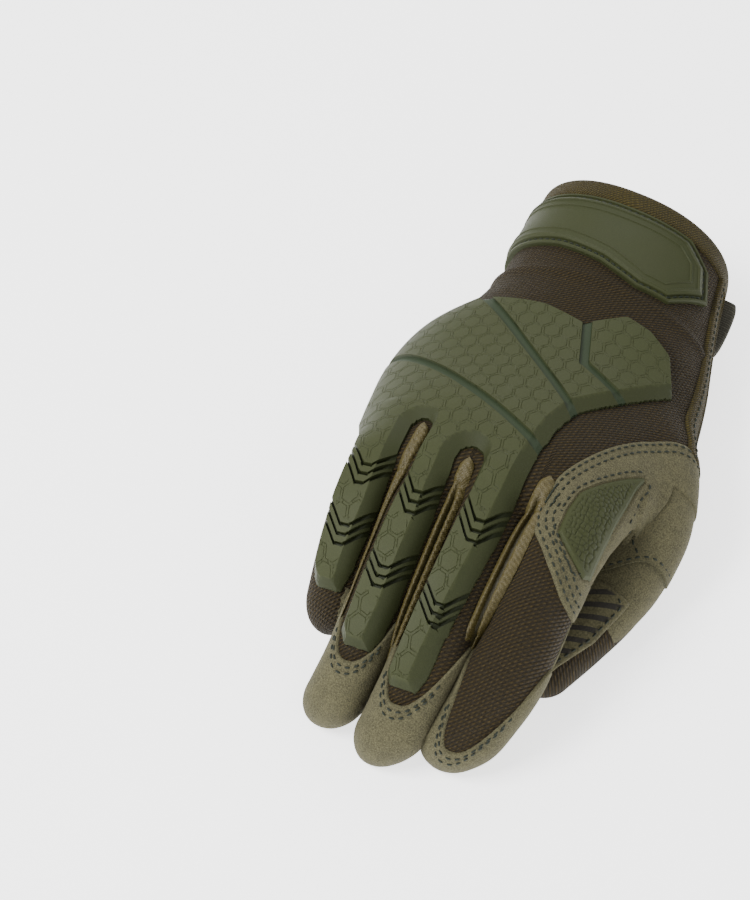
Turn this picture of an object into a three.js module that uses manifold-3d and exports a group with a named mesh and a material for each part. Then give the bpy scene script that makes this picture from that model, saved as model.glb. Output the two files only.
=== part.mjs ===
// A right-hand tactical glove, lying palm down with its thumb folded beside the index finger.
// Millimetres, +Z up, fingers towards -Y, thumb on the +X side, resting on the plane Z = 0.
//
// The glove is laid out flat and then bent. In the flat layout u runs across the hand (+ to the thumb),
// v runs along it from the cuff to the fingertips, and h is the height above the hand's middle surface.
// Cloth walls are cut from lofted tubes, so each panel is a curved wall that ends at a seam.

import * as THREE from 'three';
import Module from 'manifold-3d';
import { mergeVertices } from 'three/addons/utils/BufferGeometryUtils.js';

const wasm = await Module();
wasm.setup();

// Driving dimensions
const WALL = 1.8; // cloth and suede panels
const SEAM_GAP = 0.3; // clearance between neighbouring pieces
const GUARD_THICKNESS = 2.8;
const CHANNEL_DEPTH = 1.5;
const PAD_THICKNESS = 1.2;
const GRIP_THICKNESS = 1;
const STRAP_THICKNESS = 2.2;
const BINDING_THICKNESS = 1.2;
const BINDING_WIDTH = 7;
const CUFF_HALF_HEIGHT = 23.5;
const SIDE_SEAM_HEIGHT = -6; // the seam between back and palm, below the middle surface
const SECTION_POWER = 2.4; // 2 is an ellipse, more is boxier
const FINGER_POWER = 2.2;
const BODY_SIDES = 24;
const FINGER_SIDES = { outside: 10, inside: 6 };
const FINGER_STEP = { outside: 19, inside: 34 };
const TIP_ROUNDING = 13; // length of the rounded end of a finger
const ROUND_STEPS = { outside: [0.5, 0.82, 1], inside: [0.6, 1] }; // shares of a rounded end's length
const ARCH = 0.002; // how fast the row of knuckles drops away from its middle, per mm
const ARCH_CENTRE = 3;
const ORIGIN = { x: 5.83, y: -105.17 }; // the middle of the glove's footprint in layout axes

// Slope of the middle surface along the hand, in degrees
const SLOPES = [
  { v: -20, slope: 0 },
  { v: 30, slope: 1 },
  { v: 50, slope: 6 },
  { v: 110, slope: 15 },
  { v: 135, slope: 10 },
  { v: 162, slope: -16 },
  { v: 190, slope: -23.5 },
  { v: 205, slope: -32 },
  { v: 222, slope: -44 },
  { v: 262, slope: -66 },
];
const CUFF_EDGE = -6; // v of the cuff's edge
const CUFF_SLANT = 0.14; // the cuff lies askew: how far each mm across moves it along the hand
const CUFF_SLANT_END = 60; // v where the cuff's slant has faded out
const CUFF_CENTRE = 6;

// Hand body: left and right edge and half height of each section
const BODY = [
  { v: -6, left: -31, right: 42, high: 23.5 },
  { v: 16, left: -32, right: 44.8, high: 23.2 },
  { v: 38, left: -34, right: 48.6, high: 22.2 },
  { v: 56, left: -41, right: 52, high: 20.8 },
  { v: 72, left: -48.5, right: 54.4, high: 19.4 },
  { v: 90, left: -50.5, right: 56.4, high: 18.4 },
  { v: 108, left: -48.5, right: 55, high: 17.5 },
  { v: 126, left: -45.6, right: 50, high: 16 },
  { v: 138, left: -44, right: 46.5, high: 14 },
];
const BODY_END_ROUNDING = 11;

// Finger stalls: centre, half width and half height along each, and how far the tip drops
const FINGERS = {
  little: {
    rows: [
      { v: 128, centre: -33, wide: 10, high: 10.6 },
      { v: 140, centre: -33, wide: 10.6, high: 11.5 },
      { v: 165, centre: -33.5, wide: 10, high: 10.5 },
      { v: 186, centre: -33, wide: 9.2, high: 9.5 },
      { v: 201, centre: -33.8, wide: 8.8, high: 8.8 },
    ],
    drop: 13,
  },
  ring: {
    rows: [
      { v: 128, centre: -13.5, wide: 10.4, high: 11 },
      { v: 140, centre: -14, wide: 11, high: 12.4 },
      { v: 170, centre: -15.5, wide: 10.4, high: 11.4 },
      { v: 203, centre: -17.2, wide: 9.6, high: 10 },
      { v: 232, centre: -23.6, wide: 9.8, high: 9.4 },
    ],
    drop: 6.6,
  },
  middle: {
    rows: [
      { v: 128, centre: 9, wide: 10.6, high: 11.4 },
      { v: 140, centre: 9, wide: 11.4, high: 12.8 },
      { v: 170, centre: 7.5, wide: 11, high: 11.8 },
      { v: 208, centre: 3.6, wide: 10.2, high: 10.2 },
      { v: 237, centre: -2.8, wide: 9.8, high: 9.4 },
    ],
    drop: 2.8,
  },
  index: {
    rows: [
      { v: 128, centre: 33.2, wide: 13, high: 11.2 },
      { v: 140, centre: 33, wide: 13.6, high: 12.6 },
      { v: 168, centre: 32, wide: 12.2, high: 11.8 },
      { v: 202, centre: 29.4, wide: 11.2, high: 10.4 },
      { v: 233, centre: 18.8, wide: 10.4, high: 9.6 },
    ],
    drop: 7,
  },
};
const fingerList = Object.values(FINGERS);
const DROP_FROM = 150; // v where a finger's own extra droop begins

// Thumb: centre line and half sizes, in layout axes after bending
const THUMB = [
  { x: 33, y: -76, z: 27, wide: 11, high: 10 },
  { x: 45, y: -92, z: 27, wide: 14, high: 12.6 },
  { x: 50.5, y: -109, z: 22, wide: 14.4, high: 13 },
  { x: 51, y: -126, z: 16, wide: 13.4, high: 12 },
  { x: 47.4, y: -143, z: 12.4, wide: 12.4, high: 11.2 },
  { x: 41.6, y: -158, z: 10, wide: 11.8, high: 10.4 },
  { x: 36, y: -172, z: 9, wide: 11, high: 9.8 },
];
const THUMB_STEPS = 7;
const THUMB_TIP_ROUNDING = 11;
const THUMB_MESH_EDGE = { top: -9, bottom: 3 }; // the mesh side's edge over and under the thumb
const THUMB_SEAM_Y = -104; // the thumb is set into the palm here

const smooth = (t) => t * t * (3 - 2 * t);
const clamp = (x, low, high) => Math.min(high, Math.max(low, x));

// A smooth curve through one column of a table, at the place x of its key column
function column(table, key, name, x) {
  const last = table.length - 1;
  const at = clamp(x, table[0][key], table[last][key]);
  let i = 0;
  while (i < last - 1 && at > table[i + 1][key]) i += 1;
  const tangent = (j) => {
    const a = table[Math.max(j - 1, 0)];
    const b = table[Math.min(j + 1, last)];
    return (b[name] - a[name]) / (b[key] - a[key]);
  };
  const span = table[i + 1][key] - table[i][key];
  const t = (at - table[i][key]) / span;
  const [p, q] = [table[i][name], table[i + 1][name]];
  return (
    p * (1 - smooth(t)) + q * smooth(t) + span * t * (1 - t) * ((1 - t) * tangent(i) - t * tangent(i + 1))
  );
}

function slopeAt(v) {
  const last = SLOPES.length - 1;
  const i = clamp(SLOPES.findIndex((row) => row.v > v) - 1, 0, last - 1);
  const t = (v - SLOPES[i].v) / (SLOPES[i + 1].v - SLOPES[i].v);
  return THREE.MathUtils.degToRad(SLOPES[i].slope + t * (SLOPES[i + 1].slope - SLOPES[i].slope));
}

// The middle surface's own line, found by adding up short steps along its slope
const SPINE_START = -20;
const SPINE = [{ y: -SPINE_START, z: CUFF_HALF_HEIGHT }];
for (let v = SPINE_START; v < SLOPES.at(-1).v; v += 1) {
  const slope = slopeAt(v + 0.5);
  const last = SPINE.at(-1);
  SPINE.push({ y: last.y - Math.cos(slope), z: last.z + Math.sin(slope) });
}

// From the flat layout to the resting glove
function bend(u, v, h) {
  const i = clamp(Math.floor(v - SPINE_START), 0, SPINE.length - 2);
  const t = v - SPINE_START - i;
  const slope = slopeAt(v);
  const raised = h - ARCH * (u - ARCH_CENTRE) ** 2;
  const slant = CUFF_SLANT * smooth(clamp(1 - v / CUFF_SLANT_END, 0, 1)) * (u - CUFF_CENTRE);
  return [
    u,
    SPINE[i].y + t * (SPINE[i + 1].y - SPINE[i].y) + raised * Math.sin(slope) - slant,
    SPINE[i].z + t * (SPINE[i + 1].z - SPINE[i].z) + raised * Math.cos(slope),
  ];
}

// Faces between each ring of points and the next one; ends are left open
const ringFaces = (pairs, count) =>
  pairs.flatMap(([r, next]) =>
    Array.from({ length: count }, (_, k) => {
      const [a, b] = [r * count + k, r * count + ((k + 1) % count)];
      const [c, d] = [next * count + k, next * count + ((k + 1) % count)];
      return [a, b, d, a, d, c];
    }).flat(),
  );

function solidFromFaces(positions, faces) {
  const geometry = new THREE.BufferGeometry();
  geometry.setAttribute('position', new THREE.Float32BufferAttribute(positions, 3));
  geometry.setIndex(faces);
  return toManifold(geometry);
}

// Closed solid through a list of rings, each a list of [x, y, z], with flat ends
function solidFromRings(rings) {
  const count = rings[0].length;
  const positions = rings.flat(2);
  const faces = ringFaces(
    rings.slice(1).map((_, r) => [r, r + 1]),
    count,
  );
  [rings[0], rings.at(-1)].forEach((ring, end) => {
    const centre = positions.length / 3;
    for (let axis = 0; axis < 3; axis += 1) {
      positions.push(ring.reduce((sum, point) => sum + point[axis], 0) / count);
    }
    const base = end ? (rings.length - 1) * count : 0;
    for (let k = 0; k < count; k += 1) {
      const a = base + k;
      const b = base + ((k + 1) % count);
      faces.push(...(end ? [a, b, centre] : [b, a, centre]));
    }
  });
  return solidFromFaces(positions, faces);
}

// Solid whose rings run round a section and meet again, such as a tape round an opening
const sweptSolid = (rings) =>
  solidFromFaces(
    rings.flat(2),
    ringFaces(
      rings.map((_, r) => [r, (r + 1) % rings.length]),
      rings[0].length,
    ),
  );

function toManifold(geometry) {
  geometry.deleteAttribute('normal');
  geometry.deleteAttribute('uv');
  const merged = mergeVertices(geometry, 1e-4);
  const build = (index) =>
    new wasm.Manifold(
      new wasm.Mesh({
        numProp: 3,
        vertProperties: Float32Array.from(merged.attributes.position.array),
        triVerts: index,
      }),
    );
  const index = Uint32Array.from(merged.index.array);
  const solid = build(index);
  if (solid.volume() > 0) return solid;
  const flipped = index.slice();
  for (let i = 0; i < flipped.length; i += 3) {
    [flipped[i + 1], flipped[i + 2]] = [flipped[i + 2], flipped[i + 1]];
  }
  return build(flipped);
}

// One ring of a rounded section, with the powers that make it rounder or boxier
function sectionPoint(k, sides, power) {
  const angle = (2 * Math.PI * k) / sides;
  const round = (value) => Math.sign(value) * Math.abs(value) ** (2 / power);
  return [round(Math.cos(angle)), round(Math.sin(angle))];
}

// The inside of a wall is drawn with fewer facets than its outside
const side = (offset) => (offset < 0 ? 'inside' : 'outside');

// A cloth surface never goes below its rest, nor its inside below the wall that lies there
const onRest = (point, rest) => [point[0], point[1], Math.max(point[2], rest)];
const BODY_REST = BINDING_THICKNESS + SEAM_GAP; // the cuff stands on its binding

// One section of the hand body, grown outwards by offset and shrunk by size towards its rounded end
function bodyRing(v, offset, size = 1) {
  const left = column(BODY, 'v', 'left', v) - offset;
  const right = column(BODY, 'v', 'right', v) + offset;
  const high = (column(BODY, 'v', 'high', v) + offset) * size;
  const narrowed = (1 + size) / 2;
  return Array.from({ length: BODY_SIDES }, (_, k) => {
    const [across, up] = sectionPoint(k, BODY_SIDES, SECTION_POWER);
    const u = (left + right) / 2 + (across * narrowed * (right - left)) / 2;
    return onRest(bend(u, v, up * high), BODY_REST - offset);
  });
}

// The hand body grown outwards by offset, from the place `from` to the rounded end at the webs
function bodySolid(offset, from = CUFF_EDGE, to = null) {
  const end = BODY.at(-1).v;
  const rows = BODY.filter((_, i) => offset >= 0 || i % 2 === 0);
  const places = rows.map((row) => row.v).filter((v) => v > from + 1 && (to === null || v < to - 1));
  places.unshift(from);
  if (to !== null) places.push(to);
  const rings = places.map((v) => bodyRing(v, offset));
  if (to === null) {
    for (const share of ROUND_STEPS[side(offset)]) {
      rings.push(bodyRing(end + share * (BODY_END_ROUNDING + offset), offset, Math.sqrt(1.012 - share ** 2)));
    }
  }
  return solidFromRings(rings);
}

// One finger stall grown outwards by offset
function fingerSolid({ rows, drop }, offset) {
  const tip = rows.at(-1).v;
  const places = [];
  const straightEnd = tip - TIP_ROUNDING;
  const steps = Math.round((straightEnd - rows[0].v) / FINGER_STEP[side(offset)]);
  for (let i = 0; i <= steps; i += 1) {
    places.push({ v: rows[0].v + (i * (straightEnd - rows[0].v)) / steps, size: 1 });
  }
  for (const share of ROUND_STEPS[side(offset)]) {
    places.push({ v: straightEnd + share * (TIP_ROUNDING + offset), size: Math.sqrt(1.012 - share ** 2) });
  }
  return solidFromRings(
    places.map(({ v, size }) => {
      const centre = column(rows, 'v', 'centre', v);
      const wide = (column(rows, 'v', 'wide', v) + offset) * size;
      const high = (column(rows, 'v', 'high', v) + offset) * size;
      const fall = drop * Math.max(0, (v - DROP_FROM) / (tip - DROP_FROM)) ** 2;
      const sides = FINGER_SIDES[side(offset)];
      return Array.from({ length: sides }, (_, k) => {
        const [across, up] = sectionPoint(k, sides, FINGER_POWER);
        return onRest(bend(centre + across * wide, v, up * high - fall), Math.max(-offset, 0));
      });
    }),
  );
}

// The thumb's centre, half sizes and directions at a share of its length
const THUMB_TABLE = THUMB.map((row, at) => ({ ...row, at }));
function thumbPlace(share) {
  const read = (name, where) => column(THUMB_TABLE, 'at', name, where * (THUMB.length - 1));
  const point = (where) => new THREE.Vector3(...['x', 'y', 'z'].map((name) => read(name, where)));
  const along = point(Math.min(share + 0.02, 1)).sub(point(Math.max(share - 0.02, 0))).normalize();
  const inward = new THREE.Vector3().crossVectors(along, new THREE.Vector3(0, 0, 1)).normalize();
  const up = new THREE.Vector3().crossVectors(inward, along);
  return { centre: point(share), along, inward, up, wide: read('wide', share), high: read('high', share) };
}

// A point of the thumb, from steps towards the index finger, upwards and on past its place
const thumbPoint = ({ centre, along, inward, up }, across, raised, beyond = 0) =>
  centre.clone().addScaledVector(inward, across).addScaledVector(up, raised).addScaledVector(along, beyond).toArray();

// The thumb grown outwards by offset. Its sections stand square to its centre line.
function thumbSolid(offset) {
  const places = [];
  for (let i = 0; i <= THUMB_STEPS; i += 1) places.push({ share: i / THUMB_STEPS, beyond: 0, size: 1 });
  for (const share of ROUND_STEPS[side(offset)]) {
    places.push({ share: 1, beyond: share * (THUMB_TIP_ROUNDING + offset), size: Math.sqrt(1.012 - share ** 2) });
  }
  const sides = FINGER_SIDES[side(offset)];
  return solidFromRings(
    places.map(({ share, beyond, size }) => {
      const here = thumbPlace(share);
      return Array.from({ length: sides }, (_, k) => {
        const [across, raised] = sectionPoint(k, sides, FINGER_POWER);
        const point = thumbPoint(
          here,
          across * (here.wide + offset) * size,
          raised * (here.high + offset) * size,
          beyond,
        );
        return onRest(point, Math.max(-offset, 0));
      });
    }),
  );
}

// Height of the skin's upper side above the middle surface at a place of the layout
function skinHeight(u, v) {
  const dome = (across, high, power) => high * Math.max(0, 1 - Math.abs(across) ** power) ** (1 / power);
  const heights = [0];
  if (v < BODY.at(-1).v) {
    const [left, right] = ['left', 'right'].map((name) => column(BODY, 'v', name, v));
    const across = (2 * u - left - right) / (right - left);
    heights.push(dome(across, column(BODY, 'v', 'high', v), SECTION_POWER));
  }
  for (const { rows, drop } of fingerList) {
    const tip = rows.at(-1).v;
    if (v > rows[0].v && v < tip) {
      const across = (u - column(rows, 'v', 'centre', v)) / column(rows, 'v', 'wide', v);
      const fall = drop * Math.max(0, (v - DROP_FROM) / (tip - DROP_FROM)) ** 2;
      heights.push(dome(across, column(rows, 'v', 'high', v), FINGER_POWER) - fall);
    }
  }
  return Math.max(...heights);
}

// A cutting block over part of the layout: rows of left and right edges, from low to high
const BLOCK_STEP = 34;
function block(rows, low, high, lanes = 1) {
  const places = [];
  for (let i = 0; i < rows.length - 1; i += 1) {
    const [a, b] = [rows[i], rows[i + 1]];
    const steps = Math.max(1, Math.ceil((b.v - a.v) / BLOCK_STEP));
    for (let s = 0; s < steps; s += 1) {
      const t = s / steps;
      places.push({
        v: a.v + t * (b.v - a.v),
        left: a.left + t * (b.left - a.left),
        right: a.right + t * (b.right - a.right),
      });
    }
  }
  places.push(rows.at(-1));
  const shares = Array.from({ length: lanes + 1 }, (_, i) => i / lanes);
  return solidFromRings(
    places.map(({ v, left, right }) => [
      ...shares.map((t) => bend(left + t * (right - left), v, low)),
      ...shares.map((t) => bend(right + t * (left - right), v, high)),
    ]),
  );
}

const grown = (rows, by) =>
  rows.map((row, i) => {
    const ends = (i === rows.length - 1) - (i === 0);
    return { v: row.v + by * ends, left: row.left - by, right: row.right + by };
  });

const union = (solids) => solids.reduce((whole, next) => whole.add(next));
const handSkin = (offset, from) =>
  union([bodySolid(offset, from), ...fingerList.map((finger) => fingerSolid(finger, offset))]);

// Regions of the layout, each a list of rows along v

// Everything above the side seam is the glove's back
const ABOVE = 27;
const backRegion = (gap) =>
  block(
    [
      { v: -18, left: -70, right: 80 },
      { v: 258, left: -70, right: 80 },
    ],
    SIDE_SEAM_HEIGHT + gap / 2,
    ABOVE,
    5,
  );

// Suede fingertips, each over the whole width of its finger
const TIP_CAPS = {
  fingertip_ring: [
    { v: 207, left: -45, right: -7.6 },
    { v: 248, left: -45, right: -15.6 },
  ],
  fingertip_middle: [
    { v: 215, left: -9, right: 14.2 },
    { v: 248, left: -15.6, right: 5.6 },
  ],
  fingertip_index: [
    { v: 209, left: 15.2, right: 45 },
    { v: 248, left: 5.6, right: 45 },
  ],
};
const capRegion = ([start, end], gap) =>
  block([{ ...start, v: start.v - gap }, end], SIDE_SEAM_HEIGHT + SEAM_GAP - gap, ABOVE);

// Gussets between the fingers: a strip down each gap, over the web and both side walls
const GUSSETS = {
  gusset_little_ring: { centre: [-22.8, -25.4], from: 131, to: 196, half: 3.4 },
  gusset_ring_middle: { centre: [-2.4, -6.1], from: 139, to: 204, half: 4 },
  gusset_middle_index: { centre: [20.6, 17.2], from: 141, to: 211, half: 4.6 },
};
const gussetRegion = ({ centre, from, to, half }, gap) =>
  block(
    [
      { v: from - gap, left: centre[0] - half * 0.55 - gap, right: centre[0] + half * 0.55 + gap },
      { v: from + 3, left: centre[0] - half - gap, right: centre[0] + half + gap },
      { v: to + gap, left: centre[1] - half - gap, right: centre[1] + half + gap },
    ],
    SIDE_SEAM_HEIGHT + 0.4 - gap / 2,
    ABOVE,
  );

// The suede patch over the web between index finger and thumb, and the rubber pad set on it
const PATCH = [
  { v: 90, left: 50, right: 62 },
  { v: 97, left: 44, right: 62 },
  { v: 106, left: 38, right: 62 },
  { v: 118, left: 32, right: 62 },
  { v: 136, left: 26.5, right: 62 },
  { v: 150, left: 27.5, right: 58 },
  { v: 163, left: 33, right: 56 },
  { v: 176, left: 40, right: 54 },
];
const PATCH_SEAM_HEIGHT = -3;
const patchRegion = (gap) => block(grown(PATCH, gap), PATCH_SEAM_HEIGHT - gap, ABOVE);
const PAD = [
  { v: 116, left: 43, right: 48.6 },
  { v: 126, left: 36, right: 48.4 },
  { v: 140, left: 31.8, right: 47 },
  { v: 150, left: 33, right: 45 },
  { v: 159, left: 38, right: 42.5 },
];

// The moulded guard: two humps at the wrist, a plate over the knuckles, three fingers
const GUARD_BLOCKS = [
  [
    { v: 57, left: -30, right: -6 },
    { v: 62, left: -37, right: 9 },
    { v: 70, left: -48, right: 10 },
    { v: 78, left: -54, right: 10 },
    { v: 100, left: -54, right: 10 },
  ],
  [
    { v: 53, left: 20, right: 29 },
    { v: 60, left: 11, right: 39 },
    { v: 64, left: 7, right: 40.5 },
    { v: 76, left: 7, right: 45 },
    { v: 96, left: 7, right: 30 },
    { v: 100, left: 7, right: 27 },
  ],
  [
    { v: 99.9, left: -54, right: 27 },
    { v: 110, left: -51, right: 20.5 },
    { v: 120, left: -46, right: 18 },
    { v: 137, left: -42.4, right: 17.2 },
  ],
  [
    { v: 136.9, left: -42.4, right: -25.6 },
    { v: 182, left: -40.4, right: -27 },
    { v: 188, left: -38.6, right: -29 },
  ],
  [
    { v: 136.9, left: -20.4, right: -6.4 },
    { v: 150, left: -21.4, right: -6.4 },
    { v: 198, left: -23, right: -9.6 },
    { v: 203, left: -21, right: -11.4 },
  ],
  [
    { v: 136.9, left: 1.6, right: 17.2 },
    { v: 150, left: 1.6, right: 16 },
    { v: 206, left: -2.4, right: 11.4 },
    { v: 211, left: -0.6, right: 9.6 },
  ],
];
const GUARD_SLOTS = [
  { centre: -23, half: 3.2, from: 126.5 },
  { centre: -2.4, half: 4, from: 135 },
];
const SLOT_END = 142;

// Flex channels moulded into the guard's plate: the path of each
const CHANNELS = [
  [
    [-48, 90],
    [-16, 111],
    [22, 133],
  ],
  [
    [-24, 62],
    [24, 112],
  ],
  [
    [9, 60],
    [15, 84],
    [35, 94],
  ],
];
const CHANNEL_WIDTH = 2.6;

// Chevron flexes on the guard's fingers: the point of each set of three
const CHEVRONS = [
  { u: -34, v: 151 },
  { u: -33.6, v: 170 },
  { u: -13.4, v: 156 },
  { u: -15.4, v: 180 },
  { u: 9, v: 159 },
  { u: 6, v: 186 },
];
const CHEVRON_PITCH = 3;
const CHEVRON_WIDTH = 1.2;
const CHEVRON_DEPTH = 1.2;
const CHEVRON_ARM = { across: 8, back: 4.5 };

// A narrow bar along a path over the layout, with mitred corners, used to cut a channel
function bar(path, width, low, high) {
  const normal = (a, b) => {
    const length = Math.hypot(b[0] - a[0], b[1] - a[1]);
    return [-(b[1] - a[1]) / length, (b[0] - a[0]) / length];
  };
  return solidFromRings(
    path.map((point, i) => {
      const before = normal(path[Math.max(i - 1, 0)], path[Math.max(i, 1)]);
      const after = normal(path[Math.min(i, path.length - 2)], path[Math.min(i + 1, path.length - 1)]);
      const mitre = width / (1 + before[0] * after[0] + before[1] * after[1]);
      const [du, dv] = [0, 1].map((axis) => ((before[axis] + after[axis]) * mitre) / 2);
      const [u, v] = point;
      return [
        bend(u + du, v + dv, low(u, v)),
        bend(u - du, v - dv, low(u, v)),
        bend(u - du, v - dv, high),
        bend(u + du, v + dv, high),
      ];
    }),
  );
}

// Extra points along a path, so that a bar follows the knuckles
const CHANNEL_STEP = 12;
const refined = (path) =>
  path.flatMap(([u, v], i) => {
    if (i === path.length - 1) return [[u, v]];
    const [nextU, nextV] = path[i + 1];
    const steps = Math.ceil(Math.hypot(nextU - u, nextV - v) / CHANNEL_STEP);
    return Array.from({ length: steps }, (_, j) => [u + ((nextU - u) * j) / steps, v + ((nextV - v) * j) / steps]);
  });

// Materials, with colours taken by eye from the real finishes
const finish = (color, roughness, metalness = 0) =>
  new THREE.MeshStandardMaterial({ color, roughness, metalness });
const materials = {
  mesh: finish(0x3b3320, 0.95),
  suede: finish(0x6b6a50, 0.98),
  rubber: finish(0x4a5237, 0.55),
  stretch: finish(0x6b6136, 0.75),
  binding: finish(0x4f4518, 0.85),
  webbing: finish(0x6d685a, 0.85),
};

const glove = new THREE.Group();
glove.position.set(-ORIGIN.x, -ORIGIN.y, 0);

// The largest connected body of a cut piece; the slivers that a cut leaves are dropped
function mainBody(solid) {
  return solid.decompose().sort((a, b) => b.volume() - a.volume())[0];
}

function place(name, solid, material) {
  const { vertProperties, triVerts, numProp } = mainBody(solid).getMesh();
  if (numProp !== 3) throw new Error(`${name} has unexpected vertex properties`);
  const geometry = new THREE.BufferGeometry();
  geometry.setAttribute('position', new THREE.BufferAttribute(Float32Array.from(vertProperties), 3));
  geometry.setIndex(new THREE.BufferAttribute(Uint32Array.from(triVerts), 1));
  geometry.computeVertexNormals();
  const mesh = new THREE.Mesh(geometry, material);
  mesh.name = name;
  glove.add(mesh);
}

// Box in resting axes, for cuts that don't follow the layout
function restingBox(x0, x1, y0, y1, z0, z1) {
  const box = new THREE.BoxGeometry(x1 - x0, y1 - y0, z1 - z0);
  box.translate((x0 + x1) / 2, (y0 + y1) / 2, (z0 + z1) / 2);
  return toManifold(box);
}

// The whole cloth wall: hand, fingers and thumb, hollow and open at the cuff
const outerSkin = union([handSkin(0, CUFF_EDGE), thumbSolid(0)]);
const innerSkin = union([handSkin(-WALL, CUFF_EDGE - 6), thumbSolid(-WALL)]);
const wall = outerSkin.subtract(innerSkin);

// The thumb's own part of the wall lies beyond its seam and outside the hand
const thumbZone = (gap) =>
  thumbSolid(gap)
    .subtract(handSkin(gap ? -gap : 0, CUFF_EDGE - 6))
    .intersect(restingBox(0, 90, -215, THUMB_SEAM_Y + gap, -2, 60));
const thumbWall = wall.intersect(thumbZone(0));
const handWall = wall.subtract(thumbZone(SEAM_GAP));

const patchPart = handWall.intersect(patchRegion(0));
place('thumb_patch', patchPart, materials.suede);

const gussetCutters = Object.values(GUSSETS).map((gusset) => gussetRegion(gusset, SEAM_GAP));
for (const [name, gusset] of Object.entries(GUSSETS)) {
  place(name, handWall.subtract(patchRegion(SEAM_GAP)).intersect(gussetRegion(gusset, 0)), materials.stretch);
}

const withoutInsets = union([patchRegion(SEAM_GAP), ...gussetCutters]);
const openWall = handWall.subtract(withoutInsets);
for (const [name, cap] of Object.entries(TIP_CAPS)) {
  place(name, openWall.intersect(capRegion(cap, 0)), materials.suede);
}
const capCutters = Object.values(TIP_CAPS).map((cap) => capRegion(cap, SEAM_GAP));
place('back_panel', openWall.intersect(backRegion(0)).subtract(union(capCutters)), materials.mesh);
place('palm_panel', openWall.subtract(backRegion(-2 * SEAM_GAP)).subtract(union(capCutters)), materials.suede);

// Thumb: mesh on the outer lower side of its end, suede everywhere else, a grip patch on top
const thumbMeshSide = (gap) =>
  solidFromRings(
    [
      { share: 0.52, beyond: -gap },
      { share: 0.75, beyond: 0 },
      { share: 1, beyond: 0 },
      { share: 1, beyond: 24 },
    ].map(({ share, beyond }) => {
      const here = thumbPlace(share);
      return [
        thumbPoint(here, THUMB_MESH_EDGE.top + gap, 20, beyond),
        thumbPoint(here, -30, 20, beyond),
        thumbPoint(here, -30, -20, beyond),
        thumbPoint(here, THUMB_MESH_EDGE.bottom + gap, -20, beyond),
      ];
    }),
  );
place('thumb_suede', thumbWall.subtract(thumbMeshSide(SEAM_GAP)), materials.suede);
place('thumb_mesh', thumbWall.intersect(thumbMeshSide(0)), materials.mesh);
const gripZone = solidFromRings(
  [0.5, 0.67, 0.83, 0.98].map((share) => {
    const here = thumbPlace(share);
    return [
      thumbPoint(here, 16, 2),
      thumbPoint(here, 16, 20),
      thumbPoint(here, -7.5, 20),
      thumbPoint(here, -7.5, 4),
      thumbPoint(here, 0, 2),
    ];
  }),
);
const gripShell = thumbSolid(SEAM_GAP + GRIP_THICKNESS).subtract(thumbSolid(SEAM_GAP));
place('thumb_grip', gripShell.intersect(gripZone), materials.suede);

// Knuckle guard: a moulded shell over the back, with slots between its fingers
const overSkin = (low, high) => handSkin(high, CUFF_EDGE).subtract(handSkin(low, CUFF_EDGE - 4));
const guardZone = union(GUARD_BLOCKS.map((rows) => block(rows, 0, ABOVE)));
const slotCutters = GUARD_SLOTS.map(({ centre, half, from }) =>
  block(
    [
      { v: from, left: centre - half * 0.45, right: centre + half * 0.45 },
      { v: from + 1.6, left: centre - half * 0.86, right: centre + half * 0.86 },
      { v: from + 3.6, left: centre - half, right: centre + half },
      { v: SLOT_END, left: centre - half, right: centre + half },
    ],
    0,
    ABOVE,
  ),
);
const guardShell = overSkin(SEAM_GAP, SEAM_GAP + GUARD_THICKNESS).intersect(guardZone).subtract(union(slotCutters));
const topOf = (u, v) => skinHeight(u, v) + SEAM_GAP + GUARD_THICKNESS;
const channelBars = CHANNELS.map((path) =>
  bar(refined(path), CHANNEL_WIDTH, (u, v) => topOf(u, v) - CHANNEL_DEPTH, ABOVE),
);
const chevronBars = CHEVRONS.flatMap(({ u, v }) =>
  [0, 1, 2].map((i) => {
    const point = v + i * CHEVRON_PITCH;
    const [left, right] = [-1, 1].map((way) => [u + way * CHEVRON_ARM.across, point - CHEVRON_ARM.back]);
    return bar(
      [left, [u, point], right],
      CHEVRON_WIDTH,
      (atU, atV) => topOf(atU, atV) - CHEVRON_DEPTH,
      ABOVE - 6,
    );
  }),
);
place('knuckle_guard', guardShell.subtract(union([...channelBars, ...chevronBars])), materials.rubber);

// Rubber grip pad on the thumb patch
place(
  'patch_pad',
  overSkin(SEAM_GAP, SEAM_GAP + PAD_THICKNESS).intersect(block(PAD, 0, ABOVE)),
  materials.rubber,
);

// Wrist strap: a moulded tab over the back of the cuff, with a pointed end
const STRAP = [
  { v: 1, left: -60, right: 29 },
  { v: 7, left: -60, right: 36 },
  { v: 22, left: -60, right: 41 },
  { v: 26, left: -8, right: 39 },
  { v: 35, left: 20, right: 29 },
];
const strapShell = bodySolid(SEAM_GAP + STRAP_THICKNESS, -2, 50).subtract(bodySolid(SEAM_GAP, -4, 52));
place('wrist_strap', strapShell.intersect(block(STRAP, -12, ABOVE + 6)), materials.rubber);

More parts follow.
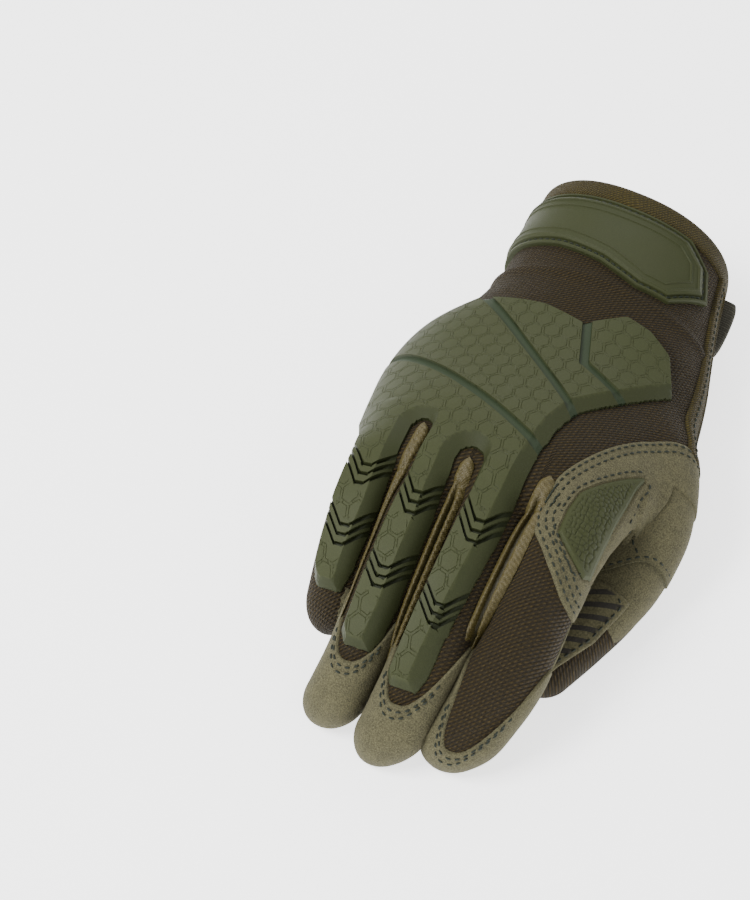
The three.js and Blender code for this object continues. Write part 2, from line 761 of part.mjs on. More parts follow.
// Cuff binding: tape folded over the cuff's edge, its U-shaped section swept round the cuff
const BINDING_SECTION = [
  { along: BINDING_WIDTH - 1.5, offset: SEAM_GAP },
  { along: BINDING_WIDTH - 1.5, offset: SEAM_GAP + BINDING_THICKNESS },
  { along: -1, offset: SEAM_GAP + BINDING_THICKNESS },
  { along: -2, offset: SEAM_GAP },
  { along: -2, offset: -WALL - SEAM_GAP },
  { along: -1, offset: -WALL - SEAM_GAP - BINDING_THICKNESS },
  { along: BINDING_WIDTH - 1.5, offset: -WALL - SEAM_GAP - BINDING_THICKNESS },
  { along: BINDING_WIDTH - 1.5, offset: -WALL - SEAM_GAP },
  { along: -SEAM_GAP, offset: -WALL - SEAM_GAP },
  { along: -SEAM_GAP, offset: SEAM_GAP },
];
place(
  'cuff_binding',
  sweptSolid(BINDING_SECTION.map(({ along, offset }) => bodyRing(CUFF_EDGE + along, offset))),
  materials.binding,
);

// Binding down the thumb-side edge of the back, from the cuff to the thumb patch
const sideBindingZone = block(
  [
    { v: CUFF_EDGE + BINDING_WIDTH - 1, left: 20, right: 76 },
    { v: 84, left: 20, right: 76 },
  ],
  SIDE_SEAM_HEIGHT - 1,
  2,
);
const sideBindingShell = bodySolid(SEAM_GAP + BINDING_THICKNESS, CUFF_EDGE).subtract(
  bodySolid(SEAM_GAP, CUFF_EDGE - 4),
);
place(
  'side_binding',
  sideBindingShell.intersect(sideBindingZone).subtract(thumbSolid(SEAM_GAP)),
  materials.binding,
);

// Pull tab: a folded length of webbing under the thumb side of the cuff
const TAB = { from: 1, to: 19, reach: 8, thick: 3, low: -13.5 };
const tabRings = [TAB.from, (TAB.from + TAB.to) / 2, TAB.to].map((v) => {
  const [left, right] = ['left', 'right'].map((name) => column(BODY, 'v', name, v));
  const high = column(BODY, 'v', 'high', v);
  const edge = (h) =>
    (left + right) / 2 + ((right - left) / 2) * (1 - Math.abs(h / high) ** SECTION_POWER) ** (1 / SECTION_POWER);
  const [inLow, inHigh] = [edge(TAB.low), edge(TAB.low + TAB.thick)];
  return [
    bend(inLow + 2 * SEAM_GAP, v, TAB.low),
    bend(inLow + TAB.reach - 1.5, v, TAB.low + 1),
    bend(inLow + TAB.reach, v, TAB.low + TAB.thick / 2 + 1),
    bend(inLow + TAB.reach - 1.5, v, TAB.low + TAB.thick + 1),
    bend(inHigh + 2 * SEAM_GAP, v, TAB.low + TAB.thick),
  ];
});
place('pull_tab', solidFromRings(tabRings), materials.webbing);

export default glove;
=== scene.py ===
"""The looks of a right-hand tactical glove that lies palm down.

All shapes are worked out in millimetres in the glove's flat layout (u across the hand, v along it, h above
its middle surface), bent to the resting hand, and put into Blender in metres in the frame's own axes.
"""

import math

import bpy
import numpy as np
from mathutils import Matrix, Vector


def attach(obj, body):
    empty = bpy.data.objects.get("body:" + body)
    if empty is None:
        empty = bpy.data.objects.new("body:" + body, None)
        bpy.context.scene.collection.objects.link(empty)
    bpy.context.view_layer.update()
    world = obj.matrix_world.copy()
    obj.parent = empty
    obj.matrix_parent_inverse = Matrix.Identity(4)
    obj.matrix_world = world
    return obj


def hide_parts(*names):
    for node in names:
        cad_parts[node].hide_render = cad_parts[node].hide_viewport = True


bl_info = {
    "name": "Tactical glove",
    "version": (1, 0, 0),
    "blender": (4, 5, 0),
    "location": "3D View > Sidebar > Glove",
    "description": "Makes the dressed parts of a tactical glove round its fixed model",
    "category": "Object",
}

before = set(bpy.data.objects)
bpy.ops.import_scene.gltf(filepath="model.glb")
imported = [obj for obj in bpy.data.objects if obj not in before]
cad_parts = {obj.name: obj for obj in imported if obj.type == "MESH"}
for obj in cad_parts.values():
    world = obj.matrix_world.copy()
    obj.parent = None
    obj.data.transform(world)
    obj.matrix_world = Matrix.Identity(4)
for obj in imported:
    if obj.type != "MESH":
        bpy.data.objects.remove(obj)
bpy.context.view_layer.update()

# Layout of the hand, in millimetres: the same tables as the fixed model's
ORIGIN = (5.83, -105.17)
BODY = np.array([  # v, left edge, right edge, half height
    (-6, -31, 42, 23.5), (16, -32, 44.8, 23.2), (38, -34, 48.6, 22.2), (56, -41, 52, 20.8), (72, -48.5, 54.4, 19.4),
    (90, -50.5, 56.4, 18.4), (108, -48.5, 55, 17.5), (126, -45.6, 50, 16), (138, -44, 46.5, 14),
])
FINGERS = [  # v, centre, half width, half height; then how far the tip drops
    (np.array([(128, -33, 10, 10.6), (140, -33, 10.6, 11.5), (165, -33.5, 10, 10.5), (186, -33, 9.2, 9.5),
               (201, -33.8, 8.8, 8.8)]), 13),
    (np.array([(128, -13.5, 10.4, 11), (140, -14, 11, 12.4), (170, -15.5, 10.4, 11.4), (203, -17.2, 9.6, 10),
               (232, -23.6, 9.8, 9.4)]), 6.6),
    (np.array([(128, 9, 10.6, 11.4), (140, 9, 11.4, 12.8), (170, 7.5, 11, 11.8), (208, 3.6, 10.2, 10.2),
               (237, -2.8, 9.8, 9.4)]), 2.8),
    (np.array([(128, 33.2, 13, 11.2), (140, 33, 13.6, 12.6), (168, 32, 12.2, 11.8), (202, 29.4, 11.2, 10.4),
               (233, 18.8, 10.4, 9.6)]), 7),
]
THUMB = np.array([  # step, centre x, y, z after bending, half width, half height
    (0, 33, -76, 27, 11, 10), (1, 45, -92, 27, 14, 12.6), (2, 50.5, -109, 22, 14.4, 13), (3, 51, -126, 16, 13.4, 12),
    (4, 47.4, -143, 12.4, 12.4, 11.2), (5, 41.6, -158, 10, 11.8, 10.4), (6, 36, -172, 9, 11, 9.8),
], float)
SLOPES = np.array([(-20, 0), (30, 1), (50, 6), (110, 15), (135, 10), (162, -16), (190, -23.5), (205, -32), (222, -44),
                   (262, -66)], float)
CUFF_EDGE = -6
TIP_ROUNDING = 13
THUMB_SEAM_Y = -104


# ---------------------------------------------------------------- flat layout, bend and skin
def smooth(t):
    """Three times t squared less twice t cubed: level at 0 and at 1."""
    return t * t * (3 - 2 * t)


def ramp(x, low, high):
    """0 below low, 1 above high, and the smooth step of x's share of the way between."""
    return smooth(np.clip((x - low) / (high - low), 0, 1))


def signed_power(wave, power):
    """A wave's size raised to a power, with its sign kept: a circle's waves raised so make a squarer ring."""
    return np.sign(wave) * np.abs(wave) ** power


def column(table, name, x):
    """Smooth curve through a column of a table: a blend of two rows plus their centred slopes."""
    key, value = table[:, 0], table[:, name]
    x = np.clip(x, key[0], key[-1])
    i = np.clip(np.searchsorted(key, x, side="left") - 1, 0, len(key) - 2)
    before, after = np.maximum(np.arange(len(key)) - 1, 0), np.minimum(np.arange(len(key)) + 1, len(key) - 1)
    slope = (value[after] - value[before]) / (key[after] - key[before])
    span = key[i + 1] - key[i]
    t = (x - key[i]) / span
    s = smooth(t)
    return value[i] * (1 - s) + value[i + 1] * s + span * t * (1 - t) * ((1 - t) * slope[i] - t * slope[i + 1])


LINE_V = np.arange(-20, 263)
_slope = np.radians(np.interp(LINE_V[:-1] + 0.5, SLOPES[:, 0], SLOPES[:, 1]))
LINE_Y = np.concatenate([[20], 20 - np.cumsum(np.cos(_slope))])
LINE_Z = np.concatenate([[23.5], 23.5 + np.cumsum(np.sin(_slope))])


def bend(flat):
    """Layout to resting hand: each (u, v, h) stands h up from the sloping middle line, less an arch across."""
    u, v, h = flat[..., 0], flat[..., 1], flat[..., 2]
    slope = np.radians(np.interp(v, SLOPES[:, 0], SLOPES[:, 1]))
    raised = h - 0.002 * (u - 3) ** 2
    slant = 0.14 * smooth(np.clip(1 - v / 60, 0, 1)) * (u - 6)
    y = np.interp(v, LINE_V, LINE_Y) + raised * np.sin(slope) - slant
    z = np.interp(v, LINE_V, LINE_Z) + raised * np.cos(slope)
    return np.stack([u, y, z], -1)


def tube(across, up, beyond, power):
    """Rough distance from a rounded tube: its superellipse measure less 1, over the measure's steepness.

    across, up: (offset, half size); beyond: how far past the straight part, over the rounding's length."""
    a, b = np.abs(across[0] / across[1]), np.abs(up[0] / up[1])
    q = np.maximum((a**power + b**power) ** (1 / power), 1e-3)
    steep = q ** (1 - power) * np.sqrt((a ** (power - 1) / across[1]) ** 2 + (b ** (power - 1) / up[1]) ** 2)
    whole = np.sqrt(q**2 + beyond[0] ** 2)
    slope = np.sqrt((q * steep) ** 2 + (beyond[0] / beyond[1]) ** 2) / whole
    return (whole - 1) / np.maximum(slope, 0.02)


def join(a, b, k):
    """The lower of two distances, with the corner between them rounded over k."""
    h = np.maximum(k - np.abs(a - b), 0) / k
    return np.minimum(a, b) - h * h * k / 4


def hand_at(v):
    """Left edge, right edge and half height of the hand's section at v."""
    return column(BODY, 1, v), column(BODY, 2, v), column(BODY, 3, v)


def fall_of(rows, drop, v):
    """How far a finger hangs at v: its drop times the square of the share of the way from 150 to its end."""
    return drop * np.maximum(0, (v - 150) / (rows[-1, 0] - 150)) ** 2


def finger_distance(i, u, v, h):
    """Distance from a finger: a tube round its hanging centre, rounded off at the tip."""
    rows, drop = FINGERS[i]
    wide, high = column(rows, 2, v), column(rows, 3, v)
    past = np.maximum(0, v - rows[-1, 0] + TIP_ROUNDING) / TIP_ROUNDING
    d = tube((u - column(rows, 1, v), wide), (h + fall_of(rows, drop, v), high), (past, TIP_ROUNDING), 2.2)
    return np.maximum(d, 122 - v)


def body_distance(u, v, h):
    """Distance from the hand: a tube between its left and right edges, rounded off past the knuckles."""
    left, right, high = hand_at(v)
    past = np.maximum(0, v - 138) / 11
    return tube((u - (left + right) / 2, (right - left) / 2), (h, high), (past, 11), 2.4)


_share = np.linspace(0, 6, 241)
THUMB_LINE = np.stack([column(THUMB, k, _share) for k in range(1, 6)], -1)
_ahead = np.stack([column(THUMB, k, np.minimum(_share + 0.12, 6)) - column(THUMB, k, np.maximum(_share - 0.12, 0))
                   for k in (1, 2, 3)], -1)
THUMB_ALONG = _ahead / np.linalg.norm(_ahead, axis=1, keepdims=True)
THUMB_IN = np.cross(THUMB_ALONG, (0, 0, 1))
THUMB_IN /= np.linalg.norm(THUMB_IN, axis=1, keepdims=True)
THUMB_UP = np.cross(THUMB_IN, THUMB_ALONG)
THUMB_LENGTH = np.concatenate([[0], np.cumsum(np.linalg.norm(np.diff(THUMB_LINE[:, :3], axis=0), axis=1))])


def along_line(table, s):
    """Rows of a table of the thumb's line, read in proportion at the lengths s."""
    return np.stack([np.interp(s, THUMB_LENGTH, table[:, k]) for k in range(table.shape[1])], -1)


def thumb_place(world):
    """Length along the thumb, steps across to the index finger and up, and half sizes there.

    The length starts from the point's y, then moves five times by most of what is left along the thumb's way."""
    s = np.interp(-world[..., 1], -THUMB_LINE[:, 1], THUMB_LENGTH)
    for _ in range(5):
        rel = world - along_line(THUMB_LINE[:, :3], s)
        s = np.clip(s + 0.8 * np.sum(rel * along_line(THUMB_ALONG, s), -1), 0, THUMB_LENGTH[-1])
    here = along_line(THUMB_LINE, s)
    rel = world - here[..., :3]
    past = np.sum(rel * along_line(THUMB_ALONG, s), -1)
    across, up = np.sum(rel * along_line(THUMB_IN, s), -1), np.sum(rel * along_line(THUMB_UP, s), -1)
    return s + np.where(np.abs(past) > 0.01, past, 0), across, up, here[..., 3], here[..., 4]


def thumb_distance(world):
    """Distance from the thumb: a tube round its line, rounded off at both ends."""
    s, across, up, wide, high = thumb_place(world)
    past = np.maximum(0, s - THUMB_LENGTH[-1]) / 11 + np.maximum(0, -s) / 10
    return tube((across, wide), (up, high), (past, 11), 2.2)


def skin_distance(flat, parts=False):
    """Rough distance from the whole glove's skin: hand, four fingers and thumb, rounded together."""
    u, v, h = flat[..., 0], flat[..., 1], flat[..., 2]
    world = bend(flat)
    fingers = finger_distance(0, u, v, h)
    for i in (1, 2, 3):
        fingers = join(fingers, finger_distance(i, u, v, h), 1.0)
    hand = join(body_distance(u, v, h), fingers, 4.0)
    rest = 1.5 - 1.3 * ramp(v, 30, 90)
    hand = -join(-hand, -(rest - world[..., 2]), 1.5)
    thumb = np.full_like(hand, 60.0)
    near = (u > 12) & (v > 70) & (v < 215)
    if near.any():
        spot = thumb_distance(world[near])
        thumb[near] = -join(-spot, -(0.2 - world[near][..., 2]), 1.5)
    whole = join(hand, thumb, 4.0)
    return (whole, hand, thumb) if parts else whole


def slope_of(flat):
    """Steepest way of the skin's distance: its difference over a quarter millimetre each way, on each axis."""
    steps = np.eye(3) * 0.25
    return np.stack([skin_distance(flat + e) - skin_distance(flat - e) for e in steps], -1) / 0.5


def settle(flat, rounds):
    """Moves points along the steepest way until they lie on the skin: each time by distance over steepness."""
    for _ in range(rounds):
        g = slope_of(flat)
        move = skin_distance(flat)[:, None] * g / np.maximum(np.sum(g * g, 1, keepdims=True), 0.05)
        size = np.linalg.norm(move, axis=1, keepdims=True)
        flat = flat - move * np.minimum(1, 1.2 / np.maximum(size, 1e-9))
    return flat


def surface_net(field, start, step):
    """Faces where a sampled distance changes sign: each mixed cell gets the mean of its edges' crossings."""
    inside = field < 0
    corner = np.array([(i, j, k) for i in (0, 1) for j in (0, 1) for k in (0, 1)])

    def cell(values, c):
        """Each cell's value at one of its eight corners."""
        return values[tuple(slice(c[a], values.shape[a] - 1 + c[a]) for a in range(3))]

    count = sum(cell(inside, c).astype(np.int8) for c in corner)
    mixed = (count > 0) & (count < 8)
    index = np.full(mixed.shape, -1)
    index[mixed] = np.arange(mixed.sum())
    total, number = np.zeros((mixed.sum(), 3)), np.zeros(mixed.sum())
    for a in range(8):
        for b in range(a + 1, 8):
            if np.abs(corner[a] - corner[b]).sum() == 1:
                fa, fb = cell(field, corner[a])[mixed], cell(field, corner[b])[mixed]
                hit = (fa < 0) != (fb < 0)
                t = np.where(hit, fa / np.where(hit, fa - fb, 1), 0)
                total += hit[:, None] * (corner[a] + t[:, None] * (corner[b] - corner[a]))
                number += hit
    points = start + step * (np.argwhere(mixed) + total / number[:, None])
    quads = []
    for a in range(3):
        b, c = (a + 1) % 3, (a + 2) % 3
        low, high = [slice(None)] * 3, [slice(None)] * 3
        low[a], high[a] = slice(0, -1), slice(1, None)
        crossed = inside[tuple(low)] != inside[tuple(high)]
        at = np.argwhere(crossed)
        at = at[(at[:, b] > 0) & (at[:, c] > 0) & (at[:, b] < mixed.shape[b]) & (at[:, c] < mixed.shape[c])]
        out = inside[tuple(at.T)]
        ring = []
        for db, dc in ((1, 1), (0, 1), (0, 0), (1, 0)):
            move = at.copy()
            move[:, b] -= db
            move[:, c] -= dc
            ring.append(index[tuple(move.T)])
        ring = np.stack(ring, 1)
        ring[~out] = ring[~out][:, ::-1]
        quads.append(ring)
    quads = np.concatenate(quads)
    return points, np.concatenate([quads[:, [0, 1, 2]], quads[:, [0, 2, 3]]])


# Columns of a surface point: layout place, resting place, outward normal and its upward part, wrap round the section,
# how much nearer the thumb than the hand is, and the thumb's own length, across and up
FLAT, WORLD, NORMAL, FACING = slice(0, 3), slice(3, 6), slice(6, 9), 8
WRAP, LEAD, T_ALONG, T_ACROSS, T_UP, LOCAL = 9, 10, 11, 12, 13, 14


def normals_of(points, tris):
    """Outward direction at each point: the sum of its faces' cross products, brought to length 1."""
    a, b, c = points[tris[:, 0]], points[tris[:, 1]], points[tris[:, 2]]
    face = np.cross(b - a, c - a)
    out = np.zeros_like(points)
    for k in range(3):
        for axis in range(3):
            out[:, axis] += np.bincount(tris[:, k], face[:, axis], len(points))
    return out / np.maximum(np.linalg.norm(out, axis=1, keepdims=True), 1e-12)


_theta = np.linspace(0, math.pi, 400)
_round = np.stack([signed_power(np.cos(_theta), 2 / 2.3), 0.7 * np.sin(_theta) ** (2 / 2.3)], 1)
_arc = np.concatenate([[0], np.cumsum(np.linalg.norm(np.diff(_round, axis=0), axis=1))])


def wrap_of(flat):
    """Length round the section from its top, so that cloth patterns keep their scale down the sides.

    The turn about the section's middle is looked up in the arc lengths of a rounded half section, for the hand
    and for the nearest finger, and the two are blended over the knuckles. Also gives the height over the middle."""
    u, v, h = flat.T
    near = np.stack([finger_distance(i, u, v, h) for i in range(4)]).argmin(0)
    choice = [(column(r, 1, v), column(r, 2, v), h + fall_of(r, d, v)) for r, d in FINGERS]
    centre, wide, level = (np.choose(near, [c[k] for c in choice]) for k in range(3))
    share = ramp(v, 122, 150)
    left, right, high = hand_at(v)

    def length(x, y, half, tall):
        """Length along the half section from its top to a turn: below it the lengths run on at 0.7 of the turn."""
        turn = np.arctan2(np.abs(y / tall) ** 1.15 * np.sign(y), np.abs(x / half) ** 1.15 * np.sign(x))
        turn = np.where(turn < -math.pi / 2, turn + 2 * math.pi, turn)
        over = np.interp(np.clip(turn, 0, math.pi), _theta, _arc)
        more = np.where(turn < 0, turn * 0.7, np.where(turn > math.pi, (turn - math.pi) * 0.7, 0))
        return -(over - _arc[-1] / 2 + more) * half

    body = (left + right) / 2 + length(u - (left + right) / 2, h, (right - left) / 2, high)
    finger = centre + length(u - centre, level, wide, 11.0)
    return body * (1 - share) + finger * share, np.where(v > 128, level, h)


def gather(flat, tris):
    """All columns for points of the layout, worked out from their places alone."""
    _, hand, thumb = skin_distance(flat, parts=True)
    world = bend(flat)
    normal = normals_of(world, tris)
    s, across, up, _, _ = thumb_place(world)
    wrap, level = wrap_of(flat)
    return np.column_stack([flat, world, normal, wrap, thumb - hand, s, across, up, level])


def skin(step):
    """The whole skin as one mesh of triangles, open nowhere, on the rounded union of all its tubes."""
    start, end = np.array([-57.0, -12.0, -48.0]), np.array([68.0, 246.0, 28.0])
    count = np.ceil((end - start) / step).astype(int)
    axes = [start[a] + step * np.arange(count[a]) for a in range(3)]
    grid = np.stack(np.meshgrid(*axes, indexing="ij"), -1)
    field = np.concatenate([skin_distance(part) for part in np.array_split(grid, 12)])
    field[:, 0], field[:, -1] = 5, 5
    points, tris = surface_net(field, start, step)
    points = settle(points, 3)
    tris = tris[:, ::-1]  # the layout's v runs towards -y, so the bend turns every face over
    return gather(points, tris), tris


# ---------------------------------------------------------------- cutting, thickness and output
def edges_of(tris):
    """Every triangle's three directed edges, all first ones before all second ones."""
    return np.concatenate([tris[:, [0, 1]], tris[:, [1, 2]], tris[:, [2, 0]]])


def tidy(data, tris):
    """Leaves out the points that no triangle uses."""
    used, back = np.unique(tris, return_inverse=True)
    return data[used], back.reshape(-1, 3)


def split(data, tris, value, jump=np.inf):
    """Cuts every triangle along value = 0, but no edge on which the value leaps by jump or more.

    An edge whose ends differ in sign gets a point at the share where the value, taken as straight, is 0. A
    triangle with one such point becomes two triangles, and one with two points becomes three."""
    value = np.where(np.abs(value) < 1e-5, 1e-5, value)
    after = np.roll(tris, -1, 1)
    cuts = ((value[tris] > 0) != (value[after] > 0)) & (np.abs(value[tris] - value[after]) < jump)
    if not cuts.any():
        return data, tris, value
    pairs = np.sort(np.stack([tris[cuts], after[cuts]], 1), 1)
    edges, back = np.unique(pairs[:, 0] * len(data) + pairs[:, 1], return_inverse=True)
    i, j = edges // len(data), edges % len(data)
    t = (value[i] / (value[i] - value[j]))[:, None]
    new = data[i] + t * (data[j] - data[i])
    middle = np.zeros(tris.shape, int)
    middle[cuts] = len(data) + back.reshape(-1)
    number = cuts.sum(1)
    made = [tris[number == 0]]
    for count, first in ((1, cuts.argmax(1)), (2, (~cuts).argmax(1) - 1)):
        rows = np.flatnonzero(number == count)
        a, b, c = (tris[rows, (first[rows] + k) % 3] for k in range(3))
        p, q = (middle[rows, (first[rows] + k) % 3] for k in (0, 2))
        if count == 1:
            made += [np.stack([a, p, c], 1), np.stack([p, b, c], 1)]
        else:
            made += [np.stack([a, p, q], 1), np.stack([p, b, c], 1), np.stack([p, c, q], 1)]
    return np.concatenate([data, new]), np.concatenate(made), np.concatenate([value, np.zeros(len(new))])


def carve(data, tris, field):
    """Splits a surface along field = 0: the part below it, and the rest."""
    data, tris, value = split(data, tris, field)
    below = value[tris].sum(1) < 0
    return tidy(data, tris[below]), tidy(data, tris[~below])


def keep(surface, field_of):
    """The part of a surface on which a field of its points is below zero."""
    return carve(*surface, field_of(surface[0]))[0]


def crease(surface, field_of, *levels, jump=np.inf):
    """Adds edges along the lines where a field equals each level, so that a profile can turn sharply there."""
    for level in levels:
        surface = split(*surface, field_of(surface[0]) - level, jump)[:2]
    return surface


def refine(surface):
    """Halves every edge, each triangle becoming four, and settles the new points on the skin."""
    data, tris = surface
    pairs = np.sort(edges_of(tris), 1)
    edges, back = np.unique(pairs[:, 0] * len(data) + pairs[:, 1], return_inverse=True)
    i, j = edges // len(data), edges % len(data)
    new = settle((data[i, FLAT] + data[j, FLAT]) / 2, 2)
    ab, bc, ca = (len(data) + back[k * len(tris):(k + 1) * len(tris)] for k in range(3))
    a, b, c = tris.T
    made = np.concatenate([np.stack(t, 1) for t in ((a, ab, ca), (ab, b, bc), (ca, bc, c), (ab, bc, ca))])
    flat = np.concatenate([data[:, FLAT], new])
    rim = rim_of(tris)
    out = gather(flat, made)
    old = np.unique(rim)
    out[old, NORMAL] = data[old, NORMAL]
    return out, made


def rim_of(tris):
    """Directed edges that only one triangle has: those whose other direction is nowhere."""
    e = edges_of(tris)
    n = tris.max() + 1
    both = np.isin(e[:, 0] * n + e[:, 1], e[:, 1] * n + e[:, 0])
    return e[~both]


STITCHES = "stitches"


def finish_called(name):
    """A material of the finishes, which have to be made before any piece."""
    if name not in bpy.data.materials:
        raise RuntimeError("the finishes come first")
    return bpy.data.materials[name]


def shell(surface, top, bottom, under=None):
    """Closed wall between a surface raised by top and lowered by bottom along its normals.

    Under holds the lower side's own triangles, of the same rim and the first points."""
    data, tris = surface
    n = len(data)
    top = np.broadcast_to(top, n)[:, None]
    under = tris if under is None else under
    low = data[: under.max() + 1]
    points = np.concatenate([data[:, WORLD] + data[:, NORMAL] * top, low[:, WORLD] - low[:, NORMAL] * bottom])
    a, b = rim_of(tris).T
    side = np.concatenate([np.stack([b, a, a + n], 1), np.stack([b, a + n, b + n], 1)])
    return points, np.concatenate([tris, under[:, ::-1] + n, side])


def put(name, points, faces, finish, uv=None, tone=None, shade=None, sharp=35.0):
    """Makes the Blender object from points in millimetres of the layout's resting axes.

    A piece that has a CAD node stands for the node of its name. Its edges are sharp past an angle in degrees."""
    mesh = bpy.data.meshes.new(name)
    place = (points - (ORIGIN[0], ORIGIN[1], 0)) / 1000
    place[:, 2] = np.maximum(place[:, 2], 0)
    faces = np.asarray(faces)
    size = faces.shape[1]
    mesh.vertices.add(len(place))
    mesh.vertices.foreach_set("co", place.astype(np.float32).ravel())
    mesh.loops.add(faces.size)
    mesh.loops.foreach_set("vertex_index", faces.ravel().astype(np.int32))
    mesh.polygons.add(len(faces))
    mesh.polygons.foreach_set("loop_start", np.arange(0, faces.size, size, dtype=np.int32))
    mesh.polygons.foreach_set("use_smooth", np.ones(len(faces), bool))
    mesh.update(calc_edges=True)
    mesh.validate()
    if uv is not None:
        layer = mesh.uv_layers.new(name="Cloth")
        corner = np.empty(len(mesh.loops), np.int32)
        mesh.loops.foreach_get("vertex_index", corner)
        layer.uv.foreach_set("vector", (uv[corner] / 1000).astype(np.float32).ravel())
    # tone paints a piece's second colour; shade carries its painted shade
    for label, values in (("tone", tone), ("shade", shade)):
        if values is not None:
            layer = mesh.attributes.new(label, "FLOAT", "POINT")
            layer.data.foreach_set("value", values.astype(np.float32))
    mesh.set_sharp_from_angle(angle=math.radians(sharp))
    mesh.materials.append(finish_called(finish))
    stands_in = name != STITCHES
    piece = bpy.data.objects.new(f"sewn_{name}" if stands_in else name, mesh)
    bpy.context.scene.collection.objects.link(piece)
    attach(piece, "root")
    if stands_in:
        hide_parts(name)
    return piece


def put_shell(name, surface, top, bottom, finish, tone=0.0, shade=0.0, thumb=False, sharp=35.0, under=None):
    """Puts the closed wall of a surface; its cloth pattern runs round and along the hand, or the thumb."""
    points, faces = shell(surface, top, bottom, under)
    data = surface[0]
    uv = data[:, [T_ACROSS, T_ALONG]] if thumb else np.column_stack([data[:, WRAP], data[:, 1]])
    tone, shade = (np.resize(np.broadcast_to(x, len(data)), len(points)) for x in (tone, shade))
    put(name, points, faces, finish, np.resize(uv, (len(points), 2)), tone, shade, sharp)


def outward(piece):
    """Turns a closed mesh's faces outwards by the sign of its volume: the sum of its corners' triple products."""
    mesh = piece.data
    ids = np.empty(len(mesh.polygons) * 3, np.int32)
    mesh.polygons.foreach_get("vertices", ids)
    co = np.empty(len(mesh.vertices) * 3, np.float32)
    mesh.vertices.foreach_get("co", co)
    a, b, c = (co.reshape(-1, 3).astype(float)[ids.reshape(-1, 3)[:, k]] for k in range(3))
    if np.sum(a * np.cross(b, c)) < 0:
        mesh.flip_normals()


def closed_grid(rows, cols, both):
    """Triangles over a grid that closes round its columns, and round its rows too where both is true."""
    r, c = np.meshgrid(np.arange(rows if both else rows - 1), np.arange(cols), indexing="ij")
    a, b = r * cols + c, r * cols + (c + 1) % cols
    d, e = ((r + 1) % rows) * cols + c, ((r + 1) % rows) * cols + (c + 1) % cols
    return np.stack([a, b, e, a, e, d], -1).reshape(-1, 3)


def put_strip(name, flat, finish, shade=None, sharp=35.0):
    """Puts a closed strip from a grid of the layout: each row is a ring, and a fan of triangles closes each end."""
    rows, cols = flat.shape[:2]
    points = bend(flat)
    points = np.concatenate([points.reshape(-1, 3), points[[0, -1]].mean(1)])
    k, last = np.arange(cols), (rows - 1) * cols
    caps = [np.stack([(k + 1) % cols, k, np.full(cols, rows * cols)], 1),
            np.stack([last + k, last + (k + 1) % cols, np.full(cols, rows * cols + 1)], 1)]
    uv = np.concatenate([flat[..., :2].reshape(-1, 2), np.zeros((2, 2))])
    if shade is not None:
        shade = np.concatenate([shade.ravel(), [0, 0]])
    outward(put(name, points, np.concatenate([closed_grid(rows, cols, False), *caps]), finish, uv, shade=shade,
                sharp=sharp))


# ---------------------------------------------------------------- outlines and seams
def scan(u, v, path, closed=True):
    """Walks a path of the layout: distance to it, length along it there, whether inside, and the distance in slopes.

    A third column of the path is the width of the slope along the edge that starts at each point."""
    path = np.asarray(path, float)
    ends = np.roll(path, -1, 0) if closed else path[1:]
    far, share, past = (np.full(len(u), 1e6) for _ in range(3))
    along, inside, start = np.zeros(len(u)), np.zeros(len(u), bool), 0.0
    for a, b in zip(path, ends):
        d = b[:2] - a[:2]
        size = max(math.hypot(*d), 1e-6)
        t = np.clip(((u - a[0]) * d[0] + (v - a[1]) * d[1]) / size**2, 0, 1)
        here = np.hypot(u - a[0] - t * d[0], v - a[1] - t * d[1])
        along = np.where(here < far, start + t * size, along)
        far = np.minimum(far, here)
        if len(a) > 2:
            share, past = np.minimum(share, here / a[2]), np.minimum(past, here - a[2])
        if closed and d[1]:
            inside ^= ((a[1] > v) != (b[1] > v)) & (u < d[0] * (v - a[1]) / d[1] + a[0])
        start += size
    return far, along, inside, share, past


def outside(u, v, path):
    """Signed distance from a closed outline: below zero inside it."""
    far, _, inside, _, _ = scan(u, v, path)
    return np.where(inside, -far, far)


def eased(path, turns=2):
    """Cuts each corner of an open path at a quarter and three quarters, again and again; its ends stay."""
    path = np.asarray(path, float)
    for _ in range(turns):
        a, b = path[:-1], path[1:]
        mid = np.stack([a * 0.75 + b * 0.25, a * 0.25 + b * 0.75], 1).reshape(-1, 2)
        path = np.concatenate([path[:1], mid[1:-1], path[-1:]])
    return path


def trace(points, normals, tris, value, order, window=None):
    """The line value = 0 on a surface: mean places and normals of its crossings, for each 0.9 of their order."""
    a, b = np.unique(np.sort(edges_of(tris), 1), axis=0).T
    hit = (value[a] < 0) != (value[b] < 0)
    if window is not None:
        hit &= window[a] & window[b]
    a, b = a[hit], b[hit]
    t = (value[a] / (value[a] - value[b]))[:, None]
    place = points[a] + t * (points[b] - points[a])
    normal = normals[a] + t * (normals[b] - normals[a])
    order = order[a] + t[:, 0] * (order[b] - order[a])
    _, group = np.unique(np.floor(order / 0.9), return_inverse=True)
    share = 1 / np.maximum(np.bincount(group), 1)
    return tuple(np.stack([np.bincount(group, x[:, k]) * share for k in range(3)], -1) for x in (place, normal))


SEAMS = []


